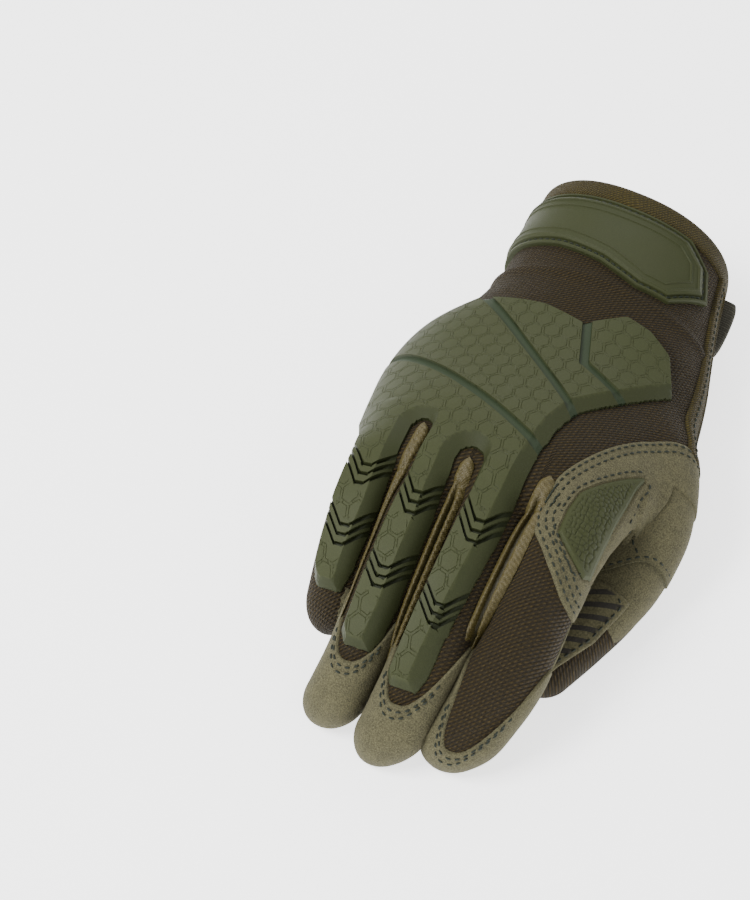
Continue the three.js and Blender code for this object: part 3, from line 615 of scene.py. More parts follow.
def seam(surface, raised, value, order, window=None, pitch=None):
    """Lays one row of stitches along value = 0 on a raised surface, at an even pitch.

    The traced line is smoothed by the mean of neighbours and read at even lengths along it. A stitch that spans a
    leap between two parts of the line is left out."""
    data, tris = surface
    pitch = pitch or sizes("stitch")
    points = data[:, WORLD] + data[:, NORMAL] * np.broadcast_to(raised, len(data))[:, None]
    line, normal = trace(points, data[:, NORMAL], tris, value, order, window)
    if len(line) < 4:
        return
    for _ in range(2):
        line[1:-1] = (line[:-2] + line[2:]) / 4 + line[1:-1] / 2
    step = np.linalg.norm(np.diff(line, axis=0), axis=1)
    run = np.concatenate([[0], np.cumsum(np.where(step > 6, 1e-3, step))])
    at = np.arange(0.5, run[-1] / pitch) * pitch
    if len(at) < 1:
        return

    def read(table, where):
        """The line's columns at lengths along it."""
        return np.stack([np.interp(where, run, table[:, k]) for k in range(3)], -1)

    middle, up = read(line, at), read(normal, at)
    up /= np.linalg.norm(up, axis=1, keepdims=True)
    along = read(line, at + pitch * 0.36) - read(line, at - pitch * 0.36)
    size = np.linalg.norm(along, axis=1, keepdims=True)
    good = (size[:, 0] > pitch * 0.35) & (size[:, 0] < pitch * 1.2)
    along = along / np.maximum(size, 1e-6)
    SEAMS.append(np.stack([middle + up * 0.05, along, up], 1)[good])


def stitch_mesh(length=2.1, radius=0.36):
    """All stitches at once: each a bowed capsule whose ends sink into the cloth.

    Its rings thin out by the root of 1 less nearly their place squared, and sink by half the fourth power."""
    spots = np.concatenate(SEAMS)
    ring, sides = np.linspace(-1, 1, 6), 6
    turn = 2 * math.pi * np.arange(sides) / sides
    thin = np.sqrt(np.clip(1.02 - ring**2 * 0.92, 0, 1))
    x = np.repeat(ring * length / 2, sides)
    y = (thin[:, None] * radius * np.cos(turn)).ravel()
    z = (thin[:, None] * radius * np.sin(turn) + 0.14 - 0.5 * ring[:, None] ** 4).ravel()
    middle, along, up = spots[:, 0], spots[:, 1], spots[:, 2]
    aside = np.cross(up, along)
    points = (middle[:, None] + along[:, None] * x[:, None] + aside[:, None] * y[:, None] + up[:, None] * z[:, None])
    r, k = np.meshgrid(np.arange(5), np.arange(sides), indexing="ij")
    a, b = r * sides + k, r * sides + (k + 1) % sides
    tris = np.stack([a, b, b + sides, a, b + sides, a + sides], -1).reshape(-1, 3)
    caps = [(0, k + 1, k) for k in range(1, sides - 1)]
    caps += [(5 * sides, 5 * sides + k, 5 * sides + k + 1) for k in range(1, sides - 1)]
    tris = np.concatenate([tris, np.array(caps)])
    tris = (tris[None] + np.arange(len(spots))[:, None, None] * len(x)).reshape(-1, 3)
    return points.reshape(-1, 3), tris


# ---------------------------------------------------------------- materials
# Painted shade: pieces darken their colour towards this by their shade attribute.
DEEP_SHADE = (0.3, 0.34, 0.27, 1)  # what is left of a colour in the deepest shade


def socketed(name, inputs, outputs):
    """A new group of nodes with named inputs, their defaults and outputs."""
    tree = bpy.data.node_groups.new(name, "ShaderNodeTree")
    for label, kind, value in inputs:
        made = tree.interface.new_socket(name=label, in_out="INPUT", socket_type=kind)
        if value is not None:
            made.default_value = value
    for label, kind in outputs:
        tree.interface.new_socket(name=label, in_out="OUTPUT", socket_type=kind)
    return tree, tree.nodes.new("NodeGroupInput"), tree.nodes.new("NodeGroupOutput")


def node(tree, kind, **values):
    """A new node with some of its settings."""
    made = tree.nodes.new(kind)
    for key, value in values.items():
        setattr(made, key, value)
    return made


def maths(tree, operation, *inputs):
    """The result of one operation on numbers or other nodes' results."""
    made = node(tree, "ShaderNodeMath", operation=operation)
    for i, value in enumerate(inputs):
        if isinstance(value, (int, float)):
            made.inputs[i].default_value = value
        else:
            tree.links.new(value, made.inputs[i])
    return made.outputs[0]


def grain_group():
    """Cloth or moulding grain: coarse mottling and fine pile from two noises, and a height of 0.4 coarse plus fine."""
    tree, start, end = socketed(
        "Grain",
        [("Place", "NodeSocketVector", None), ("Coarse", "NodeSocketFloat", 120.0),
         ("Fine", "NodeSocketFloat", 1500.0)],
        [("Mottle", "NodeSocketFloat"), ("Pile", "NodeSocketFloat"), ("Height", "NodeSocketFloat")],
    )
    link = tree.links.new
    coarse = node(tree, "ShaderNodeTexNoise")
    coarse.inputs["Detail"].default_value = 4.0
    fine = node(tree, "ShaderNodeTexNoise")
    fine.inputs["Detail"].default_value = 3.0
    for made, scale in ((coarse, "Coarse"), (fine, "Fine")):
        link(start.outputs["Place"], made.inputs["Vector"])
        link(start.outputs[scale], made.inputs["Scale"])
    link(coarse.outputs["Fac"], end.inputs["Mottle"])
    link(fine.outputs["Fac"], end.inputs["Pile"])
    height = maths(tree, "ADD", maths(tree, "MULTIPLY", coarse.outputs["Fac"], 0.4), fine.outputs["Fac"])
    link(height, end.inputs["Height"])
    return tree


def weave_group():
    """Slanting ribs of a knit or tape: rounded ridges across a turned pattern, broken along their length.

    The place is turned by the slant. A rib is half a sine wave across, and its breaks are another along it, moved
    by half a wave from each rib to the next. The rise is the rib to the power 0.6, times 0.3 to 1 by the break."""
    tree, start, end = socketed(
        "Weave",
        [("Place", "NodeSocketVector", None), ("Rib", "NodeSocketFloat", 1.0), ("Slant", "NodeSocketFloat", 0.6),
         ("Break", "NodeSocketFloat", 1.6)],
        [("Rise", "NodeSocketFloat"), ("Gap", "NodeSocketFloat")],
    )
    link = tree.links.new
    scale = node(tree, "ShaderNodeVectorMath", operation="SCALE")
    scale.inputs["Scale"].default_value = 1000.0
    link(start.outputs["Place"], scale.inputs[0])
    parts = node(tree, "ShaderNodeSeparateXYZ")
    link(scale.outputs[0], parts.inputs[0])
    x, y = parts.outputs[0], parts.outputs[1]
    cosine, sine = maths(tree, "COSINE", start.outputs["Slant"]), maths(tree, "SINE", start.outputs["Slant"])
    across = maths(tree, "ADD", maths(tree, "MULTIPLY", x, cosine), maths(tree, "MULTIPLY", y, sine))
    along = maths(tree, "SUBTRACT", maths(tree, "MULTIPLY", y, cosine), maths(tree, "MULTIPLY", x, sine))
    turn = maths(tree, "DIVIDE", maths(tree, "MULTIPLY", across, 2 * math.pi), start.outputs["Rib"])
    rib = maths(tree, "MULTIPLY_ADD", maths(tree, "SINE", turn), 0.5, 0.5)
    step = maths(tree, "DIVIDE", maths(tree, "MULTIPLY", along, 2 * math.pi), start.outputs["Break"])
    shift = maths(tree, "MULTIPLY", maths(tree, "FLOOR", maths(tree, "DIVIDE", across, start.outputs["Rib"])), math.pi)
    hole = maths(tree, "MULTIPLY_ADD", maths(tree, "SINE", maths(tree, "ADD", step, shift)), 0.5, 0.5)
    link(maths(tree, "MULTIPLY", maths(tree, "POWER", rib, 0.6), maths(tree, "MULTIPLY_ADD", hole, 0.7, 0.3)),
         end.inputs["Rise"])
    link(maths(tree, "MULTIPLY", rib, hole), end.inputs["Gap"])
    return tree


def linear(colour, share=1.0):
    """A colour for a node: its three parts times a share, and 1 for its cover."""
    return (*[c * share for c in colour[:3]], 1.0)


def cloth_material(name, colour, rough, grain, bump, spread, weave=None, deep=0.45, sheen=0.0, tone=None,
                   specular=0.3):
    """A finish from grain, an optional weave, and an optional second tone painted by the piece's attribute.

    The colour runs from 1 - spread to 1 + spread of itself with the grain. The weave's hollows keep the share
    deep of it: the weave's own dark gaps, with painted shade in them. The piece's shade attribute is painted
    shade, which darkens it further. Grain and weave together raise the relief:
    bump gives its height in metres and the grain's share."""
    material = bpy.data.materials.new(name)
    material.use_nodes = True
    tree = material.node_tree
    link = tree.links.new
    shader = tree.nodes["Principled BSDF"]
    shader.inputs["Specular IOR Level"].default_value = specular
    if sheen:
        shader.inputs["Sheen Weight"].default_value = sheen
        shader.inputs["Sheen Roughness"].default_value = 0.45
        shader.inputs["Sheen Tint"].default_value = linear(colour, 2.2)
    where = node(tree, "ShaderNodeTexCoord")
    cloth = node(tree, "ShaderNodeUVMap", uv_map="Cloth")
    spots = node(tree, "ShaderNodeGroup", node_tree=bpy.data.node_groups["Grain"])
    link(where.outputs["Object"], spots.inputs["Place"])
    spots.inputs["Coarse"].default_value, spots.inputs["Fine"].default_value = grain
    level = maths(tree, "ADD", maths(tree, "MULTIPLY", spots.outputs["Mottle"], 0.22),
                  maths(tree, "MULTIPLY", spots.outputs["Pile"], 0.78))
    light = node(tree, "ShaderNodeMapRange")
    link(level, light.inputs["Value"])
    light.inputs["From Min"].default_value, light.inputs["From Max"].default_value = 0.35, 0.65  # the noise's reach
    mix = node(tree, "ShaderNodeMix", data_type="RGBA")
    mix.inputs["A"].default_value = linear(colour, 1 - spread)
    mix.inputs["B"].default_value = linear(colour, 1 + spread)
    link(light.outputs["Result"], mix.inputs["Factor"])
    shade = mix.outputs["Result"]
    height = maths(tree, "MULTIPLY", spots.outputs["Height"], bump[1])
    if weave:
        ribs = node(tree, "ShaderNodeGroup", node_tree=bpy.data.node_groups["Weave"])
        link(cloth.outputs["UV"], ribs.inputs["Place"])
        for label, value in zip(("Rib", "Slant", "Break"), weave):
            ribs.inputs[label].default_value = value
        # Darker in the weave's hollows: its own dark gaps, and painted shade in them.
        dark = node(tree, "ShaderNodeMix", data_type="RGBA", blend_type="MULTIPLY")
        dark.inputs["Factor"].default_value = 1.0
        hollow_shade = maths(tree, "MULTIPLY_ADD", ribs.outputs["Rise"], 1 - deep, deep)
        paint = node(tree, "ShaderNodeCombineColor")
        for k in range(3):
            link(hollow_shade, paint.inputs[k])
        link(shade, dark.inputs["A"])
        link(paint.outputs[0], dark.inputs["B"])
        shade = dark.outputs["Result"]
        height = maths(tree, "ADD", height, ribs.outputs["Rise"])
    if tone:
        painted = node(tree, "ShaderNodeAttribute", attribute_name="tone")
        second = node(tree, "ShaderNodeMix", data_type="RGBA")
        second.inputs["B"].default_value = linear(tone)
        link(painted.outputs["Fac"], second.inputs["Factor"])
        link(shade, second.inputs["A"])
        shade = second.outputs["Result"]
    # Painted shade: the piece's shade attribute darkens the colour towards DEEP_SHADE.
    painted = node(tree, "ShaderNodeAttribute", attribute_name="shade")
    darker = node(tree, "ShaderNodeMix", data_type="RGBA", blend_type="MULTIPLY")
    darker.inputs["B"].default_value = DEEP_SHADE
    link(painted.outputs["Fac"], darker.inputs["Factor"])
    link(shade, darker.inputs["A"])
    link(darker.outputs["Result"], shader.inputs["Base Color"])
    rough_map = node(tree, "ShaderNodeMapRange")
    link(spots.outputs["Mottle"], rough_map.inputs["Value"])
    rough_map.inputs["To Min"].default_value = max(rough - 0.08, 0)
    rough_map.inputs["To Max"].default_value = min(rough + 0.08, 1)
    link(rough_map.outputs["Result"], shader.inputs["Roughness"])
    relief = node(tree, "ShaderNodeBump")
    relief.inputs["Distance"].default_value = bump[0]
    relief.inputs["Strength"].default_value = 1.0
    link(height, relief.inputs["Height"])
    link(relief.outputs["Normal"], shader.inputs["Normal"])
    return material


def colour_of(code):
    """Screen colour to linear light: a 2.4 power of each part, and straight near black."""
    c = np.array([int(code[i:i + 2], 16) / 255 for i in (0, 2, 4)])
    return tuple(float(x) for x in np.where(c <= 0.04045, c / 12.92, ((c + 0.055) / 1.055) ** 2.4))


def colour(name, description, code):
    """A colour that a user can change, given as a screen colour."""
    return bpy.props.FloatVectorProperty(name=name, description=description, subtype="COLOR", size=3, min=0, max=1,
                                         default=colour_of(code))


def length(name, description, millimetres):
    """A length that a user can change, from half to double its default."""
    metres = millimetres / 1000
    return bpy.props.FloatProperty(name=name, description=description, subtype="DISTANCE", unit="LENGTH",
                                   default=metres, min=metres / 2, max=metres * 2, precision=5)


class GloveColours(bpy.types.PropertyGroup):
    """Colours of the glove's finishes."""

    mesh: colour("Knit mesh", "Dark knit of the back and finger backs", "372c10")
    suede: colour("Suede", "Brushed suede of palm, thumb and fingertips", "4d4a35")
    rubber: colour("Moulded rubber", "Knuckle guard, wrist strap and pad", "353921")
    channel: colour("Channel floor", "Floor of the guard's flex channels", "2b3523")
    stretch: colour("Stretch cloth", "Satin strips between the fingers", "4b421c")
    binding: colour("Binding tape", "Tape over the cuff's and side's edge", "463d14")
    webbing: colour("Webbing", "Pull tab at the cuff", "57554a")
    thread: colour("Thread", "Stitches on suede and rubber", "1c2218")
    print_tone: colour("Printed stripes", "Grip print on the thumb", "2c2a25")


class GloveSizes(bpy.types.PropertyGroup):
    """Sizes of the glove's dressed parts."""

    skin_step: length("Skin step", "Spacing of the skin's points", 1.25)
    wall: length("Wall", "Thickness of cloth and suede", 1.5)
    guard: length("Guard", "Height of the knuckle guard over the knit", 2.9)
    stitch: length("Stitch pitch", "Distance between stitches", 3.0)


def sizes(name):
    """One of the sizes in millimetres."""
    return round(getattr(bpy.context.scene.glove_sizes, name) * 1000, 4)


# ---------------------------------------------------------------- regions of the layout
def slot_end(u, v, radius, slope):
    """The round end of a slot of the guard, whose slope widens from its right side to its left one."""
    turn = np.linspace(0, math.pi, 15)
    width = 1.2 + (slope - 1.2) * smooth(np.clip(turn / 2.4, 0, 1))
    return np.stack([u + radius * np.cos(turn), v - radius * np.sin(turn), width], 1).tolist()


GUARD = [  # outline of the moulded guard: u, v, and the width of the slope along the edge that starts there
    (-30, 57, 1.2), (-18, 57.6, 1.2), (-6, 58, 1.2), (8.5, 62.4, 1.2), (20.5, 52.2, 1.2), (30, 54, 1.2),
    (39, 60, 1.2), (45, 76, 5), (30, 96, 5.4), (21.5, 107, 5.6), (18.4, 118, 5.6), (16.8, 130, 5.6),
    (16.4, 145, 5.6), (15.8, 160, 5.6), (14, 173, 5.6), (12, 186, 5.6), (9.4, 205, 4), (7.2, 210.6, 3.2),
    (-1.8, 210.6, 2), (-4, 207, 1.2), (-1.2, 175, 1.2), (1, 150, 1.2),
    *slot_end(-3.1, 140.4, 4.6, 5.5),
    (-7.4, 150, 5.6), (-6.8, 160, 5.6), (-7.8, 188, 5.4), (-9.4, 199, 4), (-11.6, 203.4, 3.2),
    (-20.4, 203.4, 2), (-23, 199.4, 1.2), (-21.8, 165, 1.2), (-20.4, 146, 1.2),
    *slot_end(-23.4, 131.4, 3.4, 5),
    (-26.6, 142, 5), (-25.4, 160, 5), (-26.8, 181, 4), (-29, 188, 3), (-38.4, 188, 1.6), (-40.4, 183, 1.2),
    (-42.2, 160, 1.2), (-42.8, 137, 1.2), (-47.5, 121, 1.2), (-58, 108, 1.2), (-58, 78, 1.2), (-48, 70, 1.2),
    (-37.4, 62.2, 1.2),
]
CHANNELS = [[(-52, 87), (-16, 111), (24, 134)], [(-29, 56.5), (-6, 82), (24, 113)], [(8.5, 58), (15, 83), (37, 95.5)]]
# middle of each row's first groove: two rows on each prong
CHEVRONS = [(-34, 149), (-33.6, 168), (-13.8, 154), (-15.4, 178), (8.6, 157), (6, 184)]
STRAP_STEPS = [  # distance in from the strap's edge, height there: rim, sewn groove, and a double ridge round the field
    (0, 1.5), (0.3, 2.0), (1.0, 2.0), (1.2, 1.35), (2.3, 1.35), (2.5, 2.3), (3.3, 2.6), (3.6, 2.9), (4.1, 2.9),
    (4.3, 2.55), (6.2, 2.55), (6.4, 2.85), (6.9, 2.85), (7.1, 2.5), (60, 2.5)]
STRAP = [(-70, 1), (29, 1), (37.5, 8), (41, 21), (30.5, 35), (19, 35.4), (4, 29.4), (-12, 26.4), (-34, 25), (-70, 25)]
PATCH = [(84, 84), (66, 86), (57, 90), (49, 95.5), (42, 104), (34, 116), (26.6, 130.5), (24.6, 137), (22.6, 151.5),
         (32.2, 161), (42.6, 173.4), (46, 172), (54, 162), (60, 152), (84, 140)]
WEB_FOLD = [(61, 112), (53, 122), (50.5, 132), (49, 150)]
PAD = [(48, 115.6), (44.2, 120.6), (38.6, 129.2), (33.6, 138), (32.4, 145), (32.4, 152.6), (37.8, 157), (43.2, 161),
       (44.9, 159.2), (45.6, 147.2), (46.3, 135.8), (47.4, 122), (48.6, 116.4)]
TIPS = [  # finger, v of the cap's edge over its middle, how far its sides reach back
    ("fingertip_ring", 1, 207.5, 22), ("fingertip_middle", 2, 215, 24), ("fingertip_index", 3, 224, 34),
]


def finger_across(i, data):
    """Sideways place on a finger: its distance from the finger's centre over the half width, -1 to 1."""
    rows, _ = FINGERS[i]
    return (data[:, 0] - column(rows, 1, data[:, 1])) / column(rows, 2, data[:, 1])


def tip_field(i, edge, reach, data):
    """Below zero past a fingertip's edge, which curves back along the finger's sides by a power of the place."""
    across = np.abs(finger_across(i, data))
    side = np.where(data[:, LOCAL] < 0, 1, np.clip(across, 0, 1) ** 2.8)
    return np.where((across > 1.25) | (data[:, LEAD] < 0), 20.0, edge - reach * side - data[:, 1])


def thumb_field(data):
    """Below zero on the thumb beyond the seam where it is set into the palm."""
    return np.maximum(data[:, LEAD], data[:, 4] - THUMB_SEAM_Y)


def palm_field(data):
    """Below zero under the side seam, which climbs from the hand's edge to the fingers' middles."""
    return data[:, LOCAL] - (-6 + 4.6 * ramp(data[:, 1], 110, 150))


def crumple(data, size):
    """Soft unevenness of cloth: a few slow waves across each other."""
    x, y, z = data[:, WORLD].T / size
    wave = np.sin(x * 1.7 + 0.8 * np.sin(y * 0.9) + 1.1) * np.sin(y * 1.3 + 0.7 * np.sin(z * 1.9 + x) + 0.4)
    return wave + 0.5 * np.sin(2.3 * y + 1.9 * np.sin(1.1 * x + 0.6 * z) + 2.2)


# ---------------------------------------------------------------- pieces
STORE = {}


def base():
    """The skin, kept for the pieces that are cut from it, open at the cuff."""
    if "skin" not in STORE:
        data, tris = skin(sizes("skin_step"))
        data[:, WORLD] += data[:, NORMAL] * touch(data)[:, None]
        STORE["skin"] = carve(data, tris, CUFF_EDGE - data[:, 1])[0]
    return STORE["skin"]


def touch(data):
    """How far the flanks of the middle and index fingers swell beyond their gusset, so that the two touch."""
    v = data[:, 1]
    left, right = finger_across(2, data), -finger_across(3, data)
    flank = [ramp(x, 0.3, 0.85) * (np.abs(x) < 1.2) for x in (left, right)]
    return 1.35 * np.maximum(*flank) * ramp(v, 182, 196) * (1 - ramp(v, 224, 238))


def edge_round(far, thick, radius=0.7):
    """Height of a cut edge: a quarter circle from the edge inwards."""
    return thick * np.sqrt(np.clip(1 - (1 - np.clip(far / radius, 0, 1)) ** 2, 0.04, 1))


def make_skin_panels():
    """Cuts thumb, fingertips and palm off the skin along their fields; the knit back is what is left.

    A ridge crosses the back where the guard ends: a bell curve of the distance from its line."""
    wall = sizes("wall")
    rest = base()
    STORE["thumb"], rest = carve(*rest, thumb_field(rest[0]))
    for name, i, edge, reach in TIPS:
        def field(data):
            """The fingertip's own field."""
            return tip_field(i, edge, reach, data)

        cap, rest = carve(*rest, field(rest[0]))
        cap = crease(cap, field, -0.15, -0.5, -0.9)
        data = cap[0]
        raised = edge_round(-field(data), 0.9, 0.9) + 0.08 * crumple(data, 5)
        put_shell(name, cap, raised, wall, "Suede")
        across = finger_across(i, data)
        order = np.sign(across) * (10 * np.abs(across) + edge - data[:, 1] + 12)
        for far in (2.0, 4.0):
            seam(cap, raised, field(data) + far, order, (data[:, LOCAL] > 0) & (np.abs(across) < 0.8))
    palm, back = carve(*rest, palm_field(rest[0]))
    raised = edge_round(-palm_field(palm[0]), 0.5) - 0.1 + 0.15 * crumple(palm[0], 9)
    put_shell("palm_panel", palm, raised, wall, "Suede")
    data = back[0]
    u, v, h = data[:, FLAT].T
    ridge = np.exp(-(((v - 37.5 - 0.1 * (u - 6) * (u > 6)) / 2.2) ** 2))
    put_shell("back_panel", back, 0.12 * crumple(data, 8) + 0.9 * ridge * (h > 5), wall, "Knit mesh")


def make_thumb():
    """Parts the thumb stall into suede and knit, and lays the striped grip over both."""
    if "thumb" not in STORE:
        raise RuntimeError("the panels come first")
    wall = sizes("wall")

    def knit_side(data):
        """Below zero on the knit: across the thumb from its seam, and past a length that falls with height."""
        across, up = data[:, T_ACROSS], data[:, T_UP]
        edge = np.where(up > 0, -6.0, 3.0 - 9 * ramp(up, -8, 0))
        reach = THUMB_LENGTH[-1] * (0.8 - 0.2 * ramp(-up, -1, 5))
        return np.maximum(across - edge, reach - data[:, T_ALONG])

    def flap(data):
        """Past 0 beyond the slanting, waved seam where the web's suede is folded over the stall's."""
        across = data[:, T_ACROSS]
        return data[:, T_ALONG] - 66 - 0.5 * across - 3 * np.sin(across / 4)

    def grip_field(data):
        """Below zero on the grip: near its middle along the thumb, inside its edge, and on top."""
        along, across = data[:, T_ALONG], data[:, T_ACROSS]
        edge = -9.4 + 0.14 * np.maximum(along - 92, 0)
        return np.maximum.reduce([np.abs(along - 93) - 19, edge - across, 1.0 - data[:, T_UP]])

    def bands(data):
        """Stripes counted along the thumb, turned a little more the farther along they are."""
        along, across = data[:, T_ALONG], data[:, T_ACROSS]
        return (along - (0.012 * along - 0.1) * across) / 6.0

    tip, rest = carve(*STORE["thumb"], knit_side(STORE["thumb"][0]))
    rest = crease(rest, flap, 0, 0.3)
    data = rest[0]
    along, across, up = data[:, T_ALONG], data[:, T_ACROSS], data[:, T_UP]
    raised = 0.15 * crumple(data, 7) + 0.6 * np.clip(1 - flap(data) / 0.3, 0, 1) * (up > -4)
    # Painted shade: a dark band along the step where the web's suede is folded over the stall's.
    shade = 0.5 * np.exp(-(((flap(data) - 0.5) / 0.7) ** 2)) * (up > -4)
    put_shell("thumb_suede", rest, raised, wall, "Suede", shade=shade, thumb=True)
    seam(rest, raised, flap(data) + 1.8, across, up > -2)
    seam(rest, raised, across - 5 + 0.9 * np.abs(along - 50), along,
         (up > -2) & (along > 40) & (along < 60) & (across > -6))
    put_shell("thumb_mesh", tip, -0.3, wall, "Knit mesh", thumb=True)
    zone = crease(keep(STORE["thumb"], grip_field), grip_field, -0.2, -0.7)
    zone = crease(zone, bands, *[k + step for k in range(8, 24) for step in (-0.22, -0.2, 0.2, 0.22)])
    data = zone[0]
    off = np.abs((bands(data) + 0.5) % 1 - 0.5)
    stripe = np.clip((0.22 - off) / 0.02, 0, 1) * (-grip_field(data) > 1.2)
    raised = edge_round(-grip_field(data), 0.9) + 0.25
    put_shell("thumb_grip", zone, raised, 0.2, "Printed suede", tone=stripe, thumb=True)
    seam(zone, raised, grip_field(data) + 1.4, data[:, T_ALONG], data[:, T_ACROSS] < -3)


HONEY_PITCH = (5.9, 7.0)  # spacing of the honeycomb's cells across and along the hand
HONEY_TURN = math.radians(15)
HONEY_LINE = (0.405, 0.428, 0.451)  # a cell's line: its inner edge, bottom and outer edge, in cells from the middle
CHANNEL_EDGES = (1.7, 1.45)  # half widths of a channel at its rim and at its floor
TOOTH_PITCH, TEETH, TOOTH_SLOPE, TOOTH_FLAT = 3, 3, 1.15, 1.5
NARROW_TOOTH, WIDE_TOOTH = (0, 0.2, 0.95, 1.15), (0, 0.2, 1.6, 1.9)  # a groove's edges within its pitch
GUARD_FOOT = 0.9  # height of the guard's slope at its outline


def hexagons(data):
    """A honeycomb of the layout: distance from the nearest cell's middle in cells, and fields that are 0 at corners.

    A hexagon's distance is the larger of |dy| and a slanting sum of |dx| and |dy|; the cells lie in two
    rectangular sets, half a cell apart, and the nearer middle of the two counts."""
    x, y = (data[:, 0] + 10) / HONEY_PITCH[0], data[:, 1] / HONEY_PITCH[1]
    c, s = math.cos(HONEY_TURN), math.sin(HONEY_TURN)
    x, y = x * c + y * s, y * c - x * s
    col = math.sqrt(3) / 2
    best = np.full((3, len(x)), 9.0)
    for shift in (0, 0.5):
        dx = x - (np.round((x / col - 2 * shift) / 2) * 2 + 2 * shift) * col
        dy = y - np.round(y - shift) - shift
        side = np.abs(dx) * col + np.abs(dy) * 0.5
        here = np.stack([np.maximum(np.abs(dy), side), np.abs(dy) - side, dy])
        best = np.where(here[0] < best[0], here, best)
    return best


def guard_fields(data):
    """How far inside the guard's outline a point is: in slope widths, and in millimetres past the slope."""
    far, _, inside, share, past = scan(data[:, 0], data[:, 1], GUARD)
    low = (data[:, 2] - 1.5) / 1.2
    return np.where(inside, np.minimum(share, low), -far / 1.2), np.minimum(past, (low - 1) * 1.2)


def channel_distance(data):
    """Distance to the nearest middle line of the guard's flex channels."""
    return np.minimum.reduce([scan(data[:, 0], data[:, 1], path, closed=False)[0] for path in CHANNELS])


def near_prong(data):
    """The nearest of the three fingers that carry prongs."""
    return np.stack([np.abs(finger_across(i, data)) for i in range(3)]).argmin(0)


def chevron_step(data, row):
    """How far a point lies past the first groove of its prong's chevrons, whose arms run back from a flat middle."""
    prong = near_prong(data)
    cu, cv = (np.array([CHEVRONS[2 * i + row][k] for i in range(3)])[prong] for k in (0, 1))
    return data[:, 1] - cv + TOOTH_SLOPE * np.maximum(np.abs(data[:, 0] - cu) - TOOTH_FLAT, 0)


def teeth_step(data):
    """The chevrons' distance from the row farther out, or before that one from the row nearer the knuckles."""
    step = chevron_step(data, 1)
    return np.where(step > -1.2, step, chevron_step(data, 0))


def groove(step, edges):
    """Depth share of the chevrons' grooves: 1 between the two middle edges of each pitch, 0 outside, slopes between."""
    share = np.interp(step % TOOTH_PITCH, [*edges, TOOTH_PITCH], [0, 1, 1, 0, 0])
    return np.where((step >= 0) & (step <= TEETH * TOOTH_PITCH), share, 0)


def plain(data):
    """Whether a point is on a top of the guard that holds the honeycomb."""
    step = teeth_step(data)
    return (guard_fields(data)[1] > 0) & (channel_distance(data) > 1.5) & ~((step > -0.5) & (step < 8.7))


def flatten(data):
    """How much higher a prong's flat top is than the round finger under it: four fifths of the finger's fall."""
    crest = np.choose(near_prong(data), [column(FINGERS[i][0], 3, data[:, 1]) for i in range(3)])
    return 0.8 * np.clip(crest - data[:, LOCAL], 0, 4.6) * ramp(data[:, 1], 129, 150)


def make_guard():
    """The guard: the skin inside its outline, raised over slopes, less channels, chevrons and a honeycomb of lines."""
    zone = keep(base(), lambda d: np.maximum.reduce([48 - d[:, 1], d[:, 1] - 214, -0.5 - d[:, 2], -d[:, LEAD] - 3]))
    zone = keep(zone, lambda d: -guard_fields(d)[0])
    zone = crease(zone, lambda d: guard_fields(d)[0], 1)
    zone = crease(zone, channel_distance, *CHANNEL_EDGES)
    edges = sorted({*NARROW_TOOTH, *WIDE_TOOTH})
    for row in (0, 1):
        zone = crease(zone, lambda d: chevron_step(d, row), *[TOOTH_PITCH * i + x for i in range(TEETH) for x in edges],
                      jump=3.0)
    under = zone[1]
    # creases stay off the rim from here, so the underside keeps its fewer triangles
    for k in (1, 2):
        zone = crease(zone, lambda d: np.where(plain(d), hexagons(d)[k], 9), 0, jump=0.8)
    zone = crease(zone, lambda d: np.where(plain(d), hexagons(d)[0], 9), *HONEY_LINE, jump=0.3)
    data = zone[0]
    share, past = guard_fields(data)
    top = sizes("guard") + flatten(data)
    gap, step = channel_distance(data), teeth_step(data)
    cut = np.clip((CHANNEL_EDGES[0] - gap) / (CHANNEL_EDGES[0] - CHANNEL_EDGES[1]), 0, 1)
    clear = np.clip(past / 0.3, 0, 1) * np.clip((gap - 1.8) / 0.3, 0, 1) * ~((step > -1.2) & (step < 9.4))
    line = clear * np.interp(hexagons(data)[0], HONEY_LINE, [0, 1, 0])
    tooth = np.where(share < 0.97, groove(step, WIDE_TOOTH), groove(step, NARROW_TOOTH))
    level = GUARD_FOOT + (top - GUARD_FOOT) * np.clip(share, 0, 1)
    level = level - 0.15 * line - 1.7 * tooth * np.clip(share * 1.5, 0.45, 1)
    level = np.minimum(level, top - 1.2 * cut)
    # Painted shade on the slopes, in the honeycomb's lines, in the chevrons' grooves and on the channels' walls.
    shade = np.maximum.reduce([0.4 * (share < 0.999), 0.3 * line, 0.95 * tooth, 2.6 * cut * (1 - cut)])
    # prongs rise straight up, not square to the fingers' round sides
    upright = bend(data[:, FLAT] + (0, 0, 1)) - data[:, WORLD]
    blend = ramp(data[:, 1], 126, 148)[:, None]
    data[:, NORMAL] = data[:, NORMAL] * (1 - blend) + upright * blend
    put_shell("knuckle_guard", zone, level, 0.3, "Moulded rubber", cut, shade, sharp=13, under=under)


def make_strap():
    """The strap: the skin inside its outline, raised by a stepped profile of the distance from its edge."""
    def depth(d):
        """Distance in from the strap's edge, or from its hidden end low on the hand's side."""
        return -np.maximum(outside(d[:, 0], d[:, 1], STRAP), -11 - d[:, 2])

    far, high = zip(*STRAP_STEPS)
    zone = refine(keep(base(), lambda d: np.maximum.reduce([d[:, 1] - 45, -14 - d[:, 2]])))
    zone = crease(keep(zone, lambda d: -depth(d)), depth, *far[1:-1])
    data = zone[0]
    raised = np.interp(depth(data), far, high)
    # Painted shade: the whole strap is darkened a fifth of the way towards deep shade, against the key light that falls
    # on it.
    put_shell("wrist_strap", zone, raised, 0.3, "Moulded rubber", shade=0.2, sharp=25)
    seam(zone, raised, depth(data) - 1.75, scan(data[:, 0], data[:, 1], STRAP)[1], pitch=2.6)


